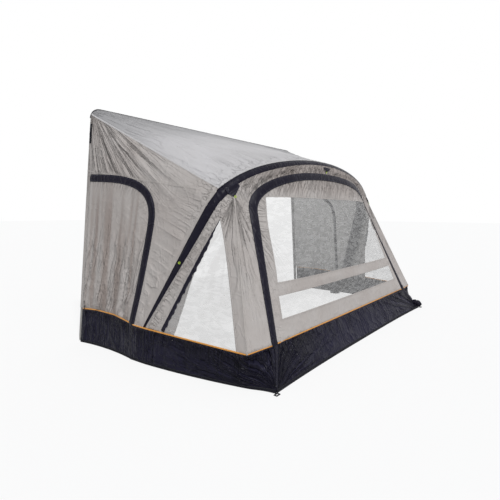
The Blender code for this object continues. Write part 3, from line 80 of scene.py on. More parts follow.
def applyAll(piece):
    bpy.ops.object.select_all(action="DESELECT")
    piece.select_set(True)
    bpy.context.view_layer.objects.active = piece
    for modifier in list(piece.modifiers):
        bpy.ops.object.modifier_apply(modifier=modifier.name)


@contextmanager
def opened(piece):    # a piece's mesh, open to be changed
    mesh = bmesh.new()
    mesh.from_mesh(piece.data)
    yield mesh
    mesh.to_mesh(piece.data)
    mesh.free()


def newPiece(name, mesh, smooth=True):
    data = bpy.data.meshes.new(name)
    mesh.to_mesh(data)
    mesh.free()
    piece = bpy.data.objects.new(name, data)
    bpy.context.scene.collection.objects.link(piece)
    if smooth:
        data.shade_smooth()
    return piece


def nodeCopy(node):
    mesh = bmesh.new()
    mesh.from_mesh(nodes[node].data)
    bmesh.ops.remove_doubles(mesh, verts=mesh.verts, dist=0.00005)
    mesh.normal_update()
    return mesh


def joinedTree(parts):    # one search tree over several meshes, each given as points and faces
    points, faces = [], []
    for spots, corners in parts:
        start = len(points)
        points += spots
        faces += [[start + corner for corner in face] for face in corners]
    return BVHTree.FromPolygons(points, faces)


def treeOf(names):
    shapes = [nodes[name].data for name in names]
    return joinedTree([
        ([vertex.co.copy() for vertex in shape.vertices], [face.vertices for face in shape.polygons])
        for shape in shapes
    ])


def spotTree(spots):
    tree = KDTree(len(spots))
    for index, spot in enumerate(spots):
        tree.insert(spot, index)
    tree.balance()
    return tree


def finishPiece(piece, body, material, *replaced):
    piece.data.materials.clear()
    piece.data.materials.append(material)
    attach(piece, body)
    if replaced:
        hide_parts(*replaced)


# Materials

def feed(tree, socket, value):    # links what another node puts out, or sets a plain value
    if isinstance(value, bpy.types.NodeSocket):
        tree.links.new(value, socket)
    elif socket.type == "RGBA" and len(value) == 3:
        socket.default_value = (*value, 1.0)
    else:
        socket.default_value = value


def addNode(tree, kind, place, feeds={}, **values):    # a value goes to the input or the setting of its name
    made = tree.nodes.new("ShaderNode" + kind)
    made.location = place
    for name, value in values.items():
        if name in made.inputs:
            feed(tree, made.inputs[name], value)
        else:
            setattr(made, name, value)
    for name, value in feeds.items():
        feed(tree, made.inputs[name], value)
    return made


def placeGroup(tree, group, place, **values):
    return addNode(tree, "Group", place, node_tree=group, **values).outputs


def maths(tree, operation, place, *feeds, **values):
    return addNode(tree, "Math", place, dict(enumerate(feeds)), operation=operation, **values).outputs[0]


def mixColours(tree, place, share, first, second, **values):
    return addNode(tree, "Mix", place, {0: share, 6: first, 7: second}, data_type="RGBA", **values).outputs[2]


def mapRange(tree, place, value, lows, highs, **values):
    feeds = dict(zip(("From Min", "From Max", "To Min", "To Max"), (*lows, *highs)))
    return addNode(tree, "MapRange", place, feeds, Value=value, **values).outputs["Result"]


def bump(tree, place, strength, distance, height, under=None):
    made = addNode(tree, "Bump", place, Strength=strength, Distance=distance, Height=height)
    if under is not None:
        tree.links.new(under, made.inputs["Normal"])
    return made.outputs["Normal"]


def keptOn(tree, name, place, output="Fac"):    # what the points of a piece carry under this name
    return addNode(tree, "Attribute", place, attribute_name=name).outputs[output]


def newGroup(name, given, results):    # an input's kind follows from its first value, and None is a vector
    group = bpy.data.node_groups.new(name, "ShaderNodeTree")
    for label, value in given.items():
        kind = "Vector" if value is None else "Color" if isinstance(value, tuple) else "Float"
        socket = group.interface.new_socket(label, in_out="INPUT", socket_type="NodeSocket" + kind)
        if value is not None:
            socket.default_value = value
    for label in results:
        kind = "Color" if label == "Color" else "Float"
        group.interface.new_socket(label, in_out="OUTPUT", socket_type="NodeSocket" + kind)
    start, end = group.nodes.new("NodeGroupInput"), group.nodes.new("NodeGroupOutput")
    start.location, end.location = (-900, 0), (700, 0)
    return group, start.outputs, end.inputs


def narrowLines(tree, place, field, width):    # the height about the middle, and thin lines where it passes it
    left, low = place
    middle = maths(tree, "SUBTRACT", place, field, 0.5)
    away = maths(tree, "ABSOLUTE", (left + 100, low), middle)
    return middle, mapRange(tree, (left + 200, low), away, (width, 0.0), (0.0, 1.0), interpolation_type="SMOOTHSTEP")


def weaveGroup():    # threads over and under each other, as a height
    group, given, result = newGroup("weaveThreads", {"Vector": None, "Threads": 700.0}, ["Height"])
    first, second, third = (
        addNode(group, "TexWave", (-500, 300 - 300 * row), bands_direction=direction, Vector=given["Vector"],
                Scale=given["Threads"]).outputs["Fac"]
        for row, direction in enumerate("XYZ")
    )
    total = maths(group, "ADD", (100, 100), maths(group, "ADD", (-200, 200), first, second), third)
    feed(group, result["Height"], maths(group, "MULTIPLY", (400, 100), total, 0.33))
    return group


def crinkleGroup():    # soft hollows with narrow creases across them, as a height
    group, given, result = newGroup("clothCrinkle", {"Vector": None, "Scale": 14.0, "Creases": 0.5}, ["Height"])
    hollows = addNode(group, "TexNoise", (-600, 200), Vector=given["Vector"], Scale=given["Scale"], Detail=2.0,
                      Roughness=0.45, Distortion=0.4)
    slant = addNode(group, "Mapping", (-760, -200), Vector=given["Vector"], Rotation=(0.7, 0.5, 0.6),
                    Scale=(1.6, 0.8, 0.45))
    waves = addNode(group, "TexNoise", (-560, -200), Vector=slant.outputs["Vector"], Scale=given["Scale"],
                    Detail=1.0, Roughness=0.4, Distortion=0.8)
    _, lines = narrowLines(group, (-400, -200), waves.outputs["Fac"], 0.07)
    scaled = maths(group, "MULTIPLY", (0, -150), lines, given["Creases"])
    feed(group, result["Height"], maths(group, "ADD", (200, 0), hollows.outputs["Fac"], scaled))
    return group


def creaseGroup():    # thin lines where the cloth is pulled, along the directions kept on its points
    group, given, result = newGroup("pulledCreases", {"Place": None, "Share": 0.0, "Width": 0.05}, ["Mask", "Height"])
    field = addNode(group, "TexNoise", (-600, 100), Vector=given["Place"], Scale=1.0, Detail=2.0, Roughness=0.55)
    middle, lines = narrowLines(group, (-400, 100), field.outputs["Fac"], given["Width"])
    mask = maths(group, "MULTIPLY", (200, 100), lines, given["Share"])
    folds = maths(group, "MULTIPLY", (200, -100), middle, given["Share"])
    feed(group, result["Mask"], mask)
    feed(group, result["Height"], maths(group, "MULTIPLY_ADD", (400, -50), folds, 2.5, mask))
    return group


def rippleGroup():    # fine waves pressed into a film, as a height
    group, given, result = newGroup("filmRipple", {"Vector": None, "Scale": 12.0}, ["Height"])
    stretch = addNode(group, "VectorMath", (-700, 0), {0: given["Vector"], 1: (1.0, 1.0, 3.2)}, operation="MULTIPLY")
    waves = addNode(group, "TexNoise", (-500, 0), Vector=stretch.outputs[0], Scale=given["Scale"], Detail=2.0,
                    Roughness=0.5, Distortion=0.7)
    crests = mapRange(group, (150, 0), waves.outputs["Fac"], (0.40, 0.60), (0.0, 1.0), interpolation_type="SMOOTHSTEP")
    feed(group, result["Height"], crests)
    return group


def driftGroup():    # broad, faint changes of colour over a cloth
    given = {"Color": (0.5, 0.5, 0.5, 1.0), "Tint": (0.4, 0.4, 0.4, 1.0), "Vector": None, "Scale": 2.0, "Amount": 0.5}
    group, given, result = newGroup("colourDrift", given, ["Color", "Mask"])
    broad = addNode(group, "TexNoise", (-600, 100), Vector=given["Vector"], Scale=given["Scale"], Detail=5.0,
                    Roughness=0.6)
    spread = mapRange(group, (-350, 100), broad.outputs["Fac"], (0.32, 0.68), (0.0, 1.0))
    share = maths(group, "MULTIPLY", (-100, 100), spread, given["Amount"])
    feed(group, result["Color"], mixColours(group, (200, 0), share, given["Color"], given["Tint"]))
    feed(group, result["Mask"], spread)
    return group


def stitchGroup():    # a row of stitches at one distance from a cloth's edge
    given = {"Edge": 0.0, "Along": 0.0, "Distance": 0.006, "Thread": 0.0009, "Pitch": 0.006}
    group, given, result = newGroup("stitchRow", given, ["Mask"])
    gap = maths(group, "SUBTRACT", (-650, 150), given["Edge"], given["Distance"])
    onRow = maths(group, "LESS_THAN", (-250, 150), maths(group, "ABSOLUTE", (-450, 150), gap), given["Thread"])
    turn = maths(group, "DIVIDE", (-650, -150), given["Along"], given["Pitch"])
    onStitch = maths(group, "LESS_THAN", (-250, -150), maths(group, "FRACT", (-450, -150), turn), 0.7)
    feed(group, result["Mask"], maths(group, "MULTIPLY", (100, 0), onRow, onStitch))
    return group


weaveThreads = weaveGroup()
clothCrinkle = crinkleGroup()
filmRipple = rippleGroup()
pulledCreases = creaseGroup()
colourDrift = driftGroup()
stitchRow = stitchGroup()
creaseShadeTint = (0.35, 0.34, 0.33)    # painted shade: a crease darkens the cloth toward this
fineDepth = 0.0004    # how far threads and grain stand up


def newMaterial(name, values):
    material = bpy.data.materials.new(name)
    material.use_nodes = True
    tree = material.node_tree
    shader = tree.nodes["Principled BSDF"]
    shader.location = (600, 0)
    for label, value in values.items():
        feed(tree, shader.inputs[label], value)
    return material, tree, shader.inputs


def objectPlace(tree):
    return addNode(tree, "TexCoord", (-1300, 0)).outputs["Object"]


def drifted(tree, shader, place, look, least):    # colour and roughness that change a little over the surface
    drift = placeGroup(tree, colourDrift, (-700, 300), Color=look["colour"], Tint=look["tint"], Vector=place,
                       Scale=look["driftScale"], Amount=look["drift"])
    limits = (look["roughness"] - least, look["roughness"] + 0.08)
    feed(tree, shader["Roughness"], mapRange(tree, (-100, 100), drift["Mask"], (0.0, 1.0), limits))
    return drift["Color"]


def creaseLines(tree, kind, low, width):
    return placeGroup(tree, pulledCreases, (-900, low), Width=width, Share=keptOn(tree, kind + "Share", (-1300, low)),
                      Place=keptOn(tree, kind + "Place", (-1300, low - 200), "Vector"))


def clothMaterial(name, look):
    material, tree, shader = newMaterial(name, {
        "Roughness": look["roughness"], "Sheen Weight": look["sheen"], "Sheen Roughness": 0.5,
        "Specular IOR Level": look["gloss"],
    })
    place = objectPlace(tree)
    colour = drifted(tree, shader, place, look, 0.06)
    edge, along = keptOn(tree, "edgeGap", (-1300, -400)), keptOn(tree, "alongEdge", (-1300, -600))
    stitches = None
    for row, distance in enumerate(look["stitches"]):
        stitch = placeGroup(tree, stitchRow, (-900, -400 - 220 * row), Edge=edge, Along=along, Distance=distance)
        stitches = maths(tree, "MAXIMUM", (-650, -400), stitches, stitch["Mask"]) if stitches else stitch["Mask"]
    if stitches:
        colour = mixColours(tree, (-300, 250), stitches, colour, look["thread"])
    width = look.get("creaseWidth", 0.045)
    fan, gather = creaseLines(tree, "fan", -1000, width), creaseLines(tree, "gather", -1400, width)
    creased = maths(tree, "ADD", (-600, -1000), fan["Mask"], gather["Mask"])
    depth = maths(tree, "ADD", (-600, -1200), fan["Height"], gather["Height"])
    # painted shade: the crease lines darken the cloth, as shade falls in them
    creaseShading = maths(tree, "MULTIPLY", (-400, -1000), creased, look.get("creaseShadeShare", 0.25), use_clamp=True)
    colour = mixColours(tree, (300, 250), creaseShading, colour, creaseShadeTint, blend_type="MULTIPLY")
    # painted shade where the points are marked for it, and painted light on the inner side, which is lighter as if lit
    # through the cloth
    for kind, other in (("paintedShade", look.get("paintedShadeColour")), ("innerSide", look.get("inside"))):
        if other:
            colour = mixColours(tree, (450, 250), keptOn(tree, kind, (-1300, -1900)), colour, other)
    feed(tree, shader["Base Color"], colour)
    crinkle = placeGroup(tree, clothCrinkle, (-700, -100), Vector=place, Scale=look["crinkleScale"],
                         Creases=look["creases"])
    weave = placeGroup(tree, weaveThreads, (-700, -250), Vector=place, Threads=look["threads"])
    normal = bump(tree, (0, -200), look["crinkle"], look["crinkleDepth"], crinkle["Height"])
    normal = bump(tree, (100, -250), 1.0, look.get("creaseDepth", 0.005), depth, normal)
    normal = bump(tree, (200, -300), look["weave"], fineDepth, weave["Height"], normal)
    if stitches:
        normal = bump(tree, (400, -400), 0.6, 0.0008, stitches, normal)
    feed(tree, shader["Normal"], normal)
    return material


def solidMaterial(name, look):
    material, tree, shader = newMaterial(name, {})
    place = objectPlace(tree)
    feed(tree, shader["Base Color"], drifted(tree, shader, place, look, 0.05))
    grain = addNode(tree, "TexNoise", (-500, -200), Vector=place, Scale=look["grainScale"], Detail=2.0)
    feed(tree, shader["Normal"], bump(tree, (100, -200), look["grain"], fineDepth, grain.outputs["Fac"]))
    return material


def filmMaterial(name, look):
    material, tree, shader = newMaterial(name, {
        "Roughness": look["roughness"], "Specular IOR Level": look["gloss"], "Base Color": look["colour"],
    })
    place = objectPlace(tree)
    ripple = placeGroup(tree, filmRipple, (-700, 0), Vector=place, Scale=look["rippleScale"])["Height"]
    lines = creaseLines(tree, "fan", 500, look["creaseWidth"])["Mask"]
    # painted shade: the film's fold lines are coloured darker; they are also made cloudier
    feed(tree, shader["Base Color"], mixColours(tree, (-100, 500), lines, look["colour"], look["foldShadeColour"]))
    clouded = maths(tree, "ADD", (-300, 200), lines, ripple)
    limits = (look["clearest"], look["cloudiest"])
    feed(tree, shader["Alpha"], mapRange(tree, (-100, 200), clouded, (0.0, 1.0), limits))
    feed(tree, shader["Normal"], bump(tree, (100, -200), 0.4, look["rippleDepth"], ripple))
    return material


# Its shade colour is the painted shade toward the rail, and its inside colour is painted light: the inner side lighter,
# as if lit through the cloth.
roofLook = {
    "colour": (0.49, 0.48, 0.49), "tint": (0.42, 0.41, 0.41), "roughness": 0.62, "sheen": 0.0,
    "gloss": 0.3, "drift": 0.55, "driftScale": 1.6, "thread": (0.42, 0.41, 0.40), "stitches": (0.006, 0.014),
    "crinkleScale": 6.0, "creases": 0.3, "crinkle": 0.6, "crinkleDepth": 0.008, "weave": 0.12, "threads": 500.0,
    "creaseShadeShare": 0.16, "creaseDepth": 0.006, "paintedShadeColour": (0.20, 0.20, 0.205), "inside": (0.58, 0.57, 0.56),
}
# Its shade colour is the painted shade of the door's streaks and of the crown, and its inside colour is painted light:
# the inner side lighter, as if lit through the cloth.
wallLook = {
    "colour": (0.40, 0.375, 0.36), "tint": (0.33, 0.29, 0.27), "roughness": 0.66, "sheen": 0.0,
    "gloss": 0.3, "drift": 0.55, "driftScale": 2.2, "thread": (0.30, 0.28, 0.26), "stitches": (0.006, 0.014),
    "crinkleScale": 9.0, "creases": 0.4, "crinkle": 0.7, "crinkleDepth": 0.007, "weave": 0.12, "threads": 500.0,
    "creaseShadeShare": 0.36, "creaseDepth": 0.010, "paintedShadeColour": (0.20, 0.155, 0.135), "inside": (0.66, 0.64, 0.62),
}
navyLook = {
    "colour": (0.007, 0.006, 0.013), "tint": (0.012, 0.011, 0.020), "roughness": 0.38, "sheen": 0.0,
    "gloss": 0.09, "drift": 0.5, "driftScale": 3.0, "thread": (0.05, 0.05, 0.07), "stitches": (0.005, 0.012),
    "crinkleScale": 9.0, "creases": 0.5, "crinkle": 0.8, "crinkleDepth": 0.010, "weave": 0.15, "threads": 500.0,
}
mudwallLook = dict(
    navyLook, colour=(0.009, 0.008, 0.021), tint=(0.013, 0.012, 0.030), gloss=0.12, roughness=0.36,
    creaseDepth=0.018, creaseShadeShare=0.75, creaseWidth=0.15, crinkle=0.4, crinkleScale=4.0, crinkleDepth=0.006,
)
tapeLook = {
    "colour": (0.008, 0.008, 0.012), "tint": (0.016, 0.016, 0.020), "roughness": 0.7, "sheen": 0.0,
    "gloss": 0.1, "drift": 0.4, "driftScale": 8.0, "thread": (0.06, 0.06, 0.06), "stitches": (0.003,),
    "crinkleScale": 40.0, "creases": 0.2, "crinkle": 0.2, "crinkleDepth": 0.002, "weave": 0.4, "threads": 260.0,
}
pipingLook = {
    "colour": (0.62, 0.27, 0.035), "tint": (0.50, 0.21, 0.03), "roughness": 0.45, "sheen": 0.1,
    "gloss": 0.5, "drift": 0.5, "driftScale": 6.0, "stitches": (),
    "crinkleScale": 60.0, "creases": 0.3, "crinkle": 0.3, "crinkleDepth": 0.002, "weave": 0.2, "threads": 400.0,
}
hiVisLook = {
    "colour": (0.42, 0.62, 0.05), "tint": (0.55, 0.60, 0.05), "roughness": 0.7, "sheen": 0.2,
    "gloss": 0.3, "drift": 0.5, "driftScale": 60.0, "stitches": (),
    "crinkleScale": 90.0, "creases": 0.2, "crinkle": 0.2, "crinkleDepth": 0.001, "weave": 0.6, "threads": 300.0,
}
foamLook = {
    "colour": (0.27, 0.26, 0.25), "tint": (0.22, 0.21, 0.20), "roughness": 0.8, "sheen": 0.2,
    "gloss": 0.25, "drift": 0.5, "driftScale": 4.0, "stitches": (),
    "crinkleScale": 18.0, "creases": 0.5, "crinkle": 0.6, "crinkleDepth": 0.006, "weave": 0.3, "threads": 350.0,
}
filmLook = {
    "colour": (0.48, 0.476, 0.472), "roughness": 0.3, "gloss": 0.25, "clearest": 0.29, "cloudiest": 0.43,
    "rippleScale": 10.0, "rippleDepth": 0.0040, "foldShadeColour": (0.27, 0.25, 0.24), "creaseWidth": 0.16,
}
plasticLook = {
    "colour": (0.025, 0.025, 0.027), "tint": (0.045, 0.045, 0.047), "roughness": 0.42,
    "drift": 0.5, "driftScale": 30.0, "grainScale": 900.0, "grain": 0.25,
}
tubeLook = {
    "colour": (0.50, 0.51, 0.53), "tint": (0.42, 0.43, 0.46), "roughness": 0.32,
    "drift": 0.5, "driftScale": 4.0, "grainScale": 60.0, "grain": 0.15,
}

roofCloth = clothMaterial("roofCloth", roofLook)
wallCloth = clothMaterial("wallCloth", wallLook)
navyCloth = clothMaterial("navyCloth", navyLook)
mudwallCloth = clothMaterial("mudwallCloth", mudwallLook)
blackTape = clothMaterial("blackTape", tapeLook)
orangePiping = clothMaterial("orangePiping", pipingLook)
hiVisCord = clothMaterial("hiVisCord", hiVisLook)
foamCover = clothMaterial("foamCover", foamLook)
clearFilm = filmMaterial("clearFilm", filmLook)
mouldedPlastic = solidMaterial("mouldedPlastic", plasticLook)
airTube = solidMaterial("airTube", tubeLook)
print("materials made")


# Cloth: the outer side of a solid, made finer and creased

def nodesWith(*words):
    return [name for name in nodes if any(word in name for word in words)]


beamTree = treeOf(["beam_sleeve"])
pipingTree = treeOf(nodesWith("piping"))
zipTree = treeOf(nodesWith("zip_tape"))
railTree = treeOf(["keder_bead"])
heldTree = treeOf(nodesWith("beam_sleeve", "keder_bead", "piping", "zip_tape", "rear_pad", "window", "zip_cover",
                            "guy_tab"))
flapTree = treeOf(nodesWith("zip_cover", "guy_tab"))
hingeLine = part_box("door_panel_left")[1].y + 0.003    # the doors fold back along here, so the cloth lies flat
hingeRoom = 0.0024    # the door's edge stays this far off, so that it turns without cutting the wall
seamReach = 0.0023
heldRoom = 0.05    # the folds fade out this near to a held edge
flapRoom = 0.045    # and this near to a flap or tab
sinkShare = 0.12    # a fold goes in by at most this share of its distance from the sleeve
restRoom = 0.06    # cloth nearer than this to a round piece lies on it
lapLow = 1.10    # below this height the cloth only meets the sleeve
lapRise = 0.60    # and it is fully lapped this much higher
sharpTurn = 0.42    # a border that turns by more than this has a corner


def outerSkin(node, outward):    # the faces of a solid sheet that look outward, up to its rim
    mesh = nodeCopy(node)
    start = max(mesh.faces, key=lambda face: face.normal.dot(outward) * face.calc_area())
    kept = {start}
    waiting = [start]
    while waiting:
        face = waiting.pop()
        for edge in face.edges:
            for other in edge.link_faces:
                if other not in kept and other.normal.dot(face.normal) > 0.55:
                    kept.add(other)
                    waiting.append(other)
    bmesh.ops.delete(mesh, geom=[face for face in mesh.faces if face not in kept], context="FACES")
    return mesh


def widen(mesh, reach, near=None):    # moves the border outwards in the cloth's own plane, so that seams close
    mesh.normal_update()
    moves = {}
    for edge in mesh.edges:
        if len(edge.link_faces) != 1:
            continue
        if near and max(near.find_nearest(vertex.co)[3] for vertex in edge.verts) > 0.012:
            continue
        face = edge.link_faces[0]
        run = (edge.verts[1].co - edge.verts[0].co).normalized()
        out = run.cross(face.normal)
        if out.dot(edge.verts[0].co - face.calc_center_median()) < 0.0:
            out.negate()
        for vertex in edge.verts:
            moves.setdefault(vertex, []).append(out)
    for vertex, outs in moves.items():
        total = outs[0] + outs[-1]
        vertex.co += total.normalized() * (reach / max(total.normalized().dot(outs[0]), 0.5))


def borderLoops(mesh):    # each border as a list of vertices in order
    edges = [edge for edge in mesh.edges if edge.is_boundary]
    following = {}
    for edge in edges:
        for vertex in edge.verts:
            following.setdefault(vertex, []).append(edge)
    left = set(edges)
    loops = []
    for edge in edges:
        if edge not in left:
            continue
        left.discard(edge)
        loop = [edge.verts[0], edge.verts[1]]
        while True:
            ahead = [other for other in following[loop[-1]] if other in left]
            if not ahead:
                break
            left.discard(ahead[0])
            loop.append(ahead[0].other_vert(loop[-1]))
        loops.append(loop)
    return loops


def keepCorners(mesh):    # marks the sharp corners of the borders, so that they stay sharp
    layer = mesh.verts.layers.float.new("crease_vert")
    for loop in borderLoops(mesh):
        ring = loop[:-1]
        for index, vertex in enumerate(ring):
            came = vertex.co - ring[index - 1].co
            goes = ring[(index + 1) % len(ring)].co - vertex.co
            if min(came.length, goes.length) > 0.0 and came.angle(goes) > sharpTurn:
                vertex[layer] = 1.0


def refined(name, mesh, levels, passes=4):
    keepCorners(mesh)
    piece = newPiece(name, mesh)
    fine = piece.modifiers.new("fine", "SUBSURF")
    fine.levels = levels
    fine.render_levels = levels
    fine.boundary_smooth = "PRESERVE_CORNERS"
    applyAll(piece)
    with opened(piece) as mesh:
        inner = [vertex for vertex in mesh.verts if not vertex.is_boundary]
        for _ in range(passes):
            bmesh.ops.smooth_vert(mesh, verts=inner, factor=0.5, use_axis_x=True, use_axis_y=True, use_axis_z=True)
    return piece


def crease(piece, field, ownEdge=None, line=None):    # pushes each point along its normal
    with opened(piece) as mesh:
        mesh.normal_update()
        border = spotTree([vertex.co for loop in borderLoops(mesh) for vertex in loop]) if ownEdge else None
        moves = []
        for vertex in mesh.verts:
            spot = vertex.co
            gap = border.find(spot)[2] / ownEdge if ownEdge else heldTree.find_nearest(spot)[3] / heldRoom
            gap = min(gap, flapTree.find_nearest(spot)[3] / flapRoom, abs(spot.y - hingeLine) / heldRoom)
            if line:
                gap = min(gap, line.find(spot)[2] / heldRoom)
            lift = max(field(spot), -sinkShare * beamTree.find_nearest(spot)[3])
            moves.append(vertex.normal * lift * soft(gap))
        for vertex, move in zip(mesh.verts, moves):
            vertex.co += move


def restOn(piece, tree, lift):
    for vertex in piece.data.vertices:
        spot, facing, _, gap = tree.find_nearest(vertex.co)
        if gap < restRoom and (vertex.co - spot).dot(facing) < lift:
            vertex.co = spot + facing * lift


def lapOver(piece, tree, reach, lift):    # brings the border further over a round piece, lying on it
    with opened(piece) as mesh:
        places = {vertex: vertex.co.copy() for vertex in mesh.verts if vertex.is_boundary}
        widen(mesh, reach, tree)
        for vertex, place in places.items():
            vertex.co = place.lerp(vertex.co, soft((place.z - lapLow) / lapRise))
    restOn(piece, tree, lift)


def roundOver(piece, line, reach):    # rounds the cloth over a ridge that two panels share
    tree = spotTree([spot for spot, _, _ in line])
    for vertex in piece.data.vertices:
        _, index, gap = tree.find(vertex.co)
        if gap < reach:
            vertex.co -= line[index][1] * line[index][2] * reach * (1.0 - gap / reach) ** 2


def inFan(point, fan):    # a point's angle and distance in a fan of folds, and how much it is pulled there
    arm = point - fan["from"]
    reach = arm.length
    angle = math.atan2(arm.dot(fan["across"]), arm.dot(fan["along"]))
    share = soft((fan["spread"] - abs(angle)) / (0.35 * fan["spread"]))
    share *= soft(reach / fan["near"]) * (1.0 - soft((reach - fan["near"]) / (fan["far"] - fan["near"])))
    return angle, reach, share


def fanMark(point, spread):    # where a point lies in the fan that pulls it most, and how much
    best = (Vector(), 0.0)
    for fan in spread:
        angle, reach, share = inFan(point, fan)
        if share > best[1]:
            best = (Vector((angle * fan["count"] * 1.25, reach * 1.3, fan["seed"])), share)
    return best


def gatherMark(point, held):    # the same for the gathers along a seam
    best = (Vector(), 0.0)
    for tree, scale, reach, low in held:
        spot, _, _, gap = tree.find_nearest(point)
        far = reach * (1.0 + 0.8 * noise.noise(spot * 7.0))
        share = math.exp(-gap / far) * soft(gap / 0.02) * (0.15 + 0.85 * soft((point.z - low) / 0.45))
        if share > best[1]:
            best = (spot * scale + Vector((gap * 3.0, 0.0, 0.0)), share)
    return best


def foldMarks(piece, spread, held, drop=None):
    with opened(piece) as mesh:
        places = [mesh.verts.layers.float_vector.new(f"{kind}Place") for kind in ("fan", "gather")]
        shares = [mesh.verts.layers.float.new(f"{kind}Share") for kind in ("fan", "gather")]
        for vertex in mesh.verts:
            pulls = (drop(vertex.co) if drop else fanMark(vertex.co, spread), gatherMark(vertex.co, held))
            for place, share, pull in zip(places, shares, pulls):
                vertex[place], vertex[share] = pull


shells = {}


def keepShell(piece):    # the outer side and the borders of a cloth, kept for the seams that lie on it
    with opened(piece) as mesh:
        shells[piece.name] = {
            "loops": [[vertex.co.copy() for vertex in loop[:-1]] for loop in borderLoops(mesh)],
            "points": [vertex.co.copy() for vertex in mesh.verts],
            "faces": [[vertex.index for vertex in face.verts] for face in mesh.faces],
        }


def shellTree(names):
    return joinedTree([(shells[name]["points"], shells[name]["faces"]) for name in names])


def bordersNear(name, wanted):    # the stretches of a border where wanted(point) is true, longest first
    runs = []
    for loop in shells[name]["loops"]:
        flags = [wanted(spot) for spot in loop]
        if all(flags):
            runs.append(loop + loop[:1])
            continue
        start = flags.index(False)
        run = []
        for spot, flag in zip(loop[start:] + loop[:start + 1], flags[start:] + flags[:start + 1]):
            if flag:
                run.append(spot)
            elif run:
                runs.append(run)
                run = []
    return sorted(runs, key=len, reverse=True)


def seamPath(first, second, within=0.012):
    tree = shellTree([second])
    return bordersNear(first, lambda spot: tree.find_nearest(spot)[3] < within)[0]


def evenPath(path, step):    # evenly spaced points that keep the sharp corners
    parts = [[path[0]]]
    for before, here, after in zip(path, path[1:], path[2:]):
        parts[-1].append(here)
        if (here - before).length > 1e-6 and (after - here).length > 1e-6:
            if (here - before).angle(after - here) > sharpTurn:
                parts.append([here])
    parts[-1].append(path[-1])
    even = [path[0].copy()]
    for part in parts:
        lengths = [0.0]
        for here, ahead in zip(part, part[1:]):
            lengths.append(lengths[-1] + (ahead - here).length)
        count = max(1, round(lengths[-1] / step))
        index = 0
        for number in range(1, count + 1):
            wanted = lengths[-1] * number / count
            while index < len(part) - 2 and lengths[index + 1] < wanted:
                index += 1
            span = max(lengths[index + 1] - lengths[index], 1e-9)
            even.append(part[index].lerp(part[index + 1], (wanted - lengths[index]) / span))
    return even


bandProfile = ((-0.5, 0.3), (-0.44, 0.95), (-0.2, 1.0), (0.0, 1.0), (0.2, 1.0), (0.44, 0.95), (0.5, 0.3))
bandWall = 0.0009
leastShare = 0.31    # a cut covers at least this share of its length times its width


def cutArea(flat, measured):    # the flat area of a cut that isn't a rectangle
    whole = flat[0] * flat[1]
    return min(max(measured, leastShare * whole), whole)


def layBand(name, path, under, look, body, material):    # a sewn strip that follows the cloth
    spots = evenPath(path, look.get("step", 0.012))
    closed = (spots[0] - spots[-1]).length < 1e-5
    last = len(spots) - 1
    mesh = bmesh.new()
    edgeLayer = mesh.verts.layers.float.new("edgeGap")
    alongLayer = mesh.verts.layers.float.new("alongEdge")
    rows, along = [], 0.0
    for index, spot in enumerate(spots):
        if index:
            along += (spot - spots[index - 1]).length
        behind = spots[index - 1] if index else spots[last - 1] if closed else None
        ahead = spots[index + 1] if index < last else spots[1] if closed else None
        came = (spot - behind).normalized() if behind else (ahead - spot).normalized()
        goes = (ahead - spot).normalized() if ahead else came
        run = (came + goes).normalized()
        mitre = 1.0 / max(run.dot(goes), 0.6)
        across = run.cross(under.find_nearest(spot)[1]).normalized()
        if "toward" in look and across.dot(look["toward"]) < 0.0:
            across.negate()
        width = look["width"] * (look["taper"](index / last) if "taper" in look else 1.0)
        row = []
        for part, rise in bandProfile:
            target = spot + across * ((part + look.get("shift", 0.0)) * width * mitre)
            place, facing, _, _ = under.find_nearest(target)
            if look.get("flat"):
                place = target
            vertex = mesh.verts.new(place + facing * (look.get("lift", 0.0) + rise * look["height"]))
            vertex[edgeLayer] = (0.5 - abs(part)) * width
            vertex[alongLayer] = along
            row.append(vertex)
        rows.append(row)
    for row, following in zip(rows, rows[1:]):
        for left in range(len(bandProfile) - 1):
            mesh.faces.new((row[left], row[left + 1], following[left + 1], following[left]))
    if closed:
        bmesh.ops.remove_doubles(mesh, verts=mesh.verts, dist=0.0002)
    mesh.normal_update()
    mesh.faces.ensure_lookup_table()
    middle = mesh.faces[len(mesh.faces) // 2]
    if middle.normal.dot(under.find_nearest(middle.calc_center_median())[1]) < 0.0:
        bmesh.ops.reverse_faces(mesh, faces=mesh.faces)
    area = sum(face.calc_area() for face in mesh.faces)
    piece = newPiece(name, mesh)
    thicken(piece, bandWall, -1.0 if look["height"] > 0.0 else 1.0)
    finishPiece(piece, body, material)
    flat = (along, look["width"])
    cutArea(flat, area)


def edgeMarks(piece):    # how far each point is from the border, and how far along it
    with opened(piece) as mesh:
        edgeLayer = mesh.verts.layers.float.new("edgeGap")
        alongLayer = mesh.verts.layers.float.new("alongEdge")
        spots, marks = [], []
        for loop in borderLoops(mesh):
            total = 0.0
            for here, ahead in zip(loop, loop[1:]):
                spots.append(here.co.copy())
                marks.append(total)
                total += (ahead.co - here.co).length
        tree = spotTree(spots)
        for vertex in mesh.verts:
            spot, index, gap = tree.find(vertex.co)
            run = spots[(index + 1) % len(spots)] - spots[index - 1]
            if run.length > 1e-6 and not vertex.is_boundary:
                side = (vertex.co - spot).dot(run.normalized())
                gap = math.sqrt(max(gap * gap - side * side, 0.0))
            vertex[edgeLayer] = 0.0 if vertex.is_boundary else gap
            vertex[alongLayer] = marks[index]


def markSides(piece):    # tells the inner side of a thickened cloth from the outer one, so that the inner side can get its painted light
    half = len(piece.data.vertices) // 2
    layer = piece.data.attributes.new("innerSide", "FLOAT", "POINT")
    layer.data.foreach_set("value", [0.0] * half + [1.0] * (len(piece.data.vertices) - half))


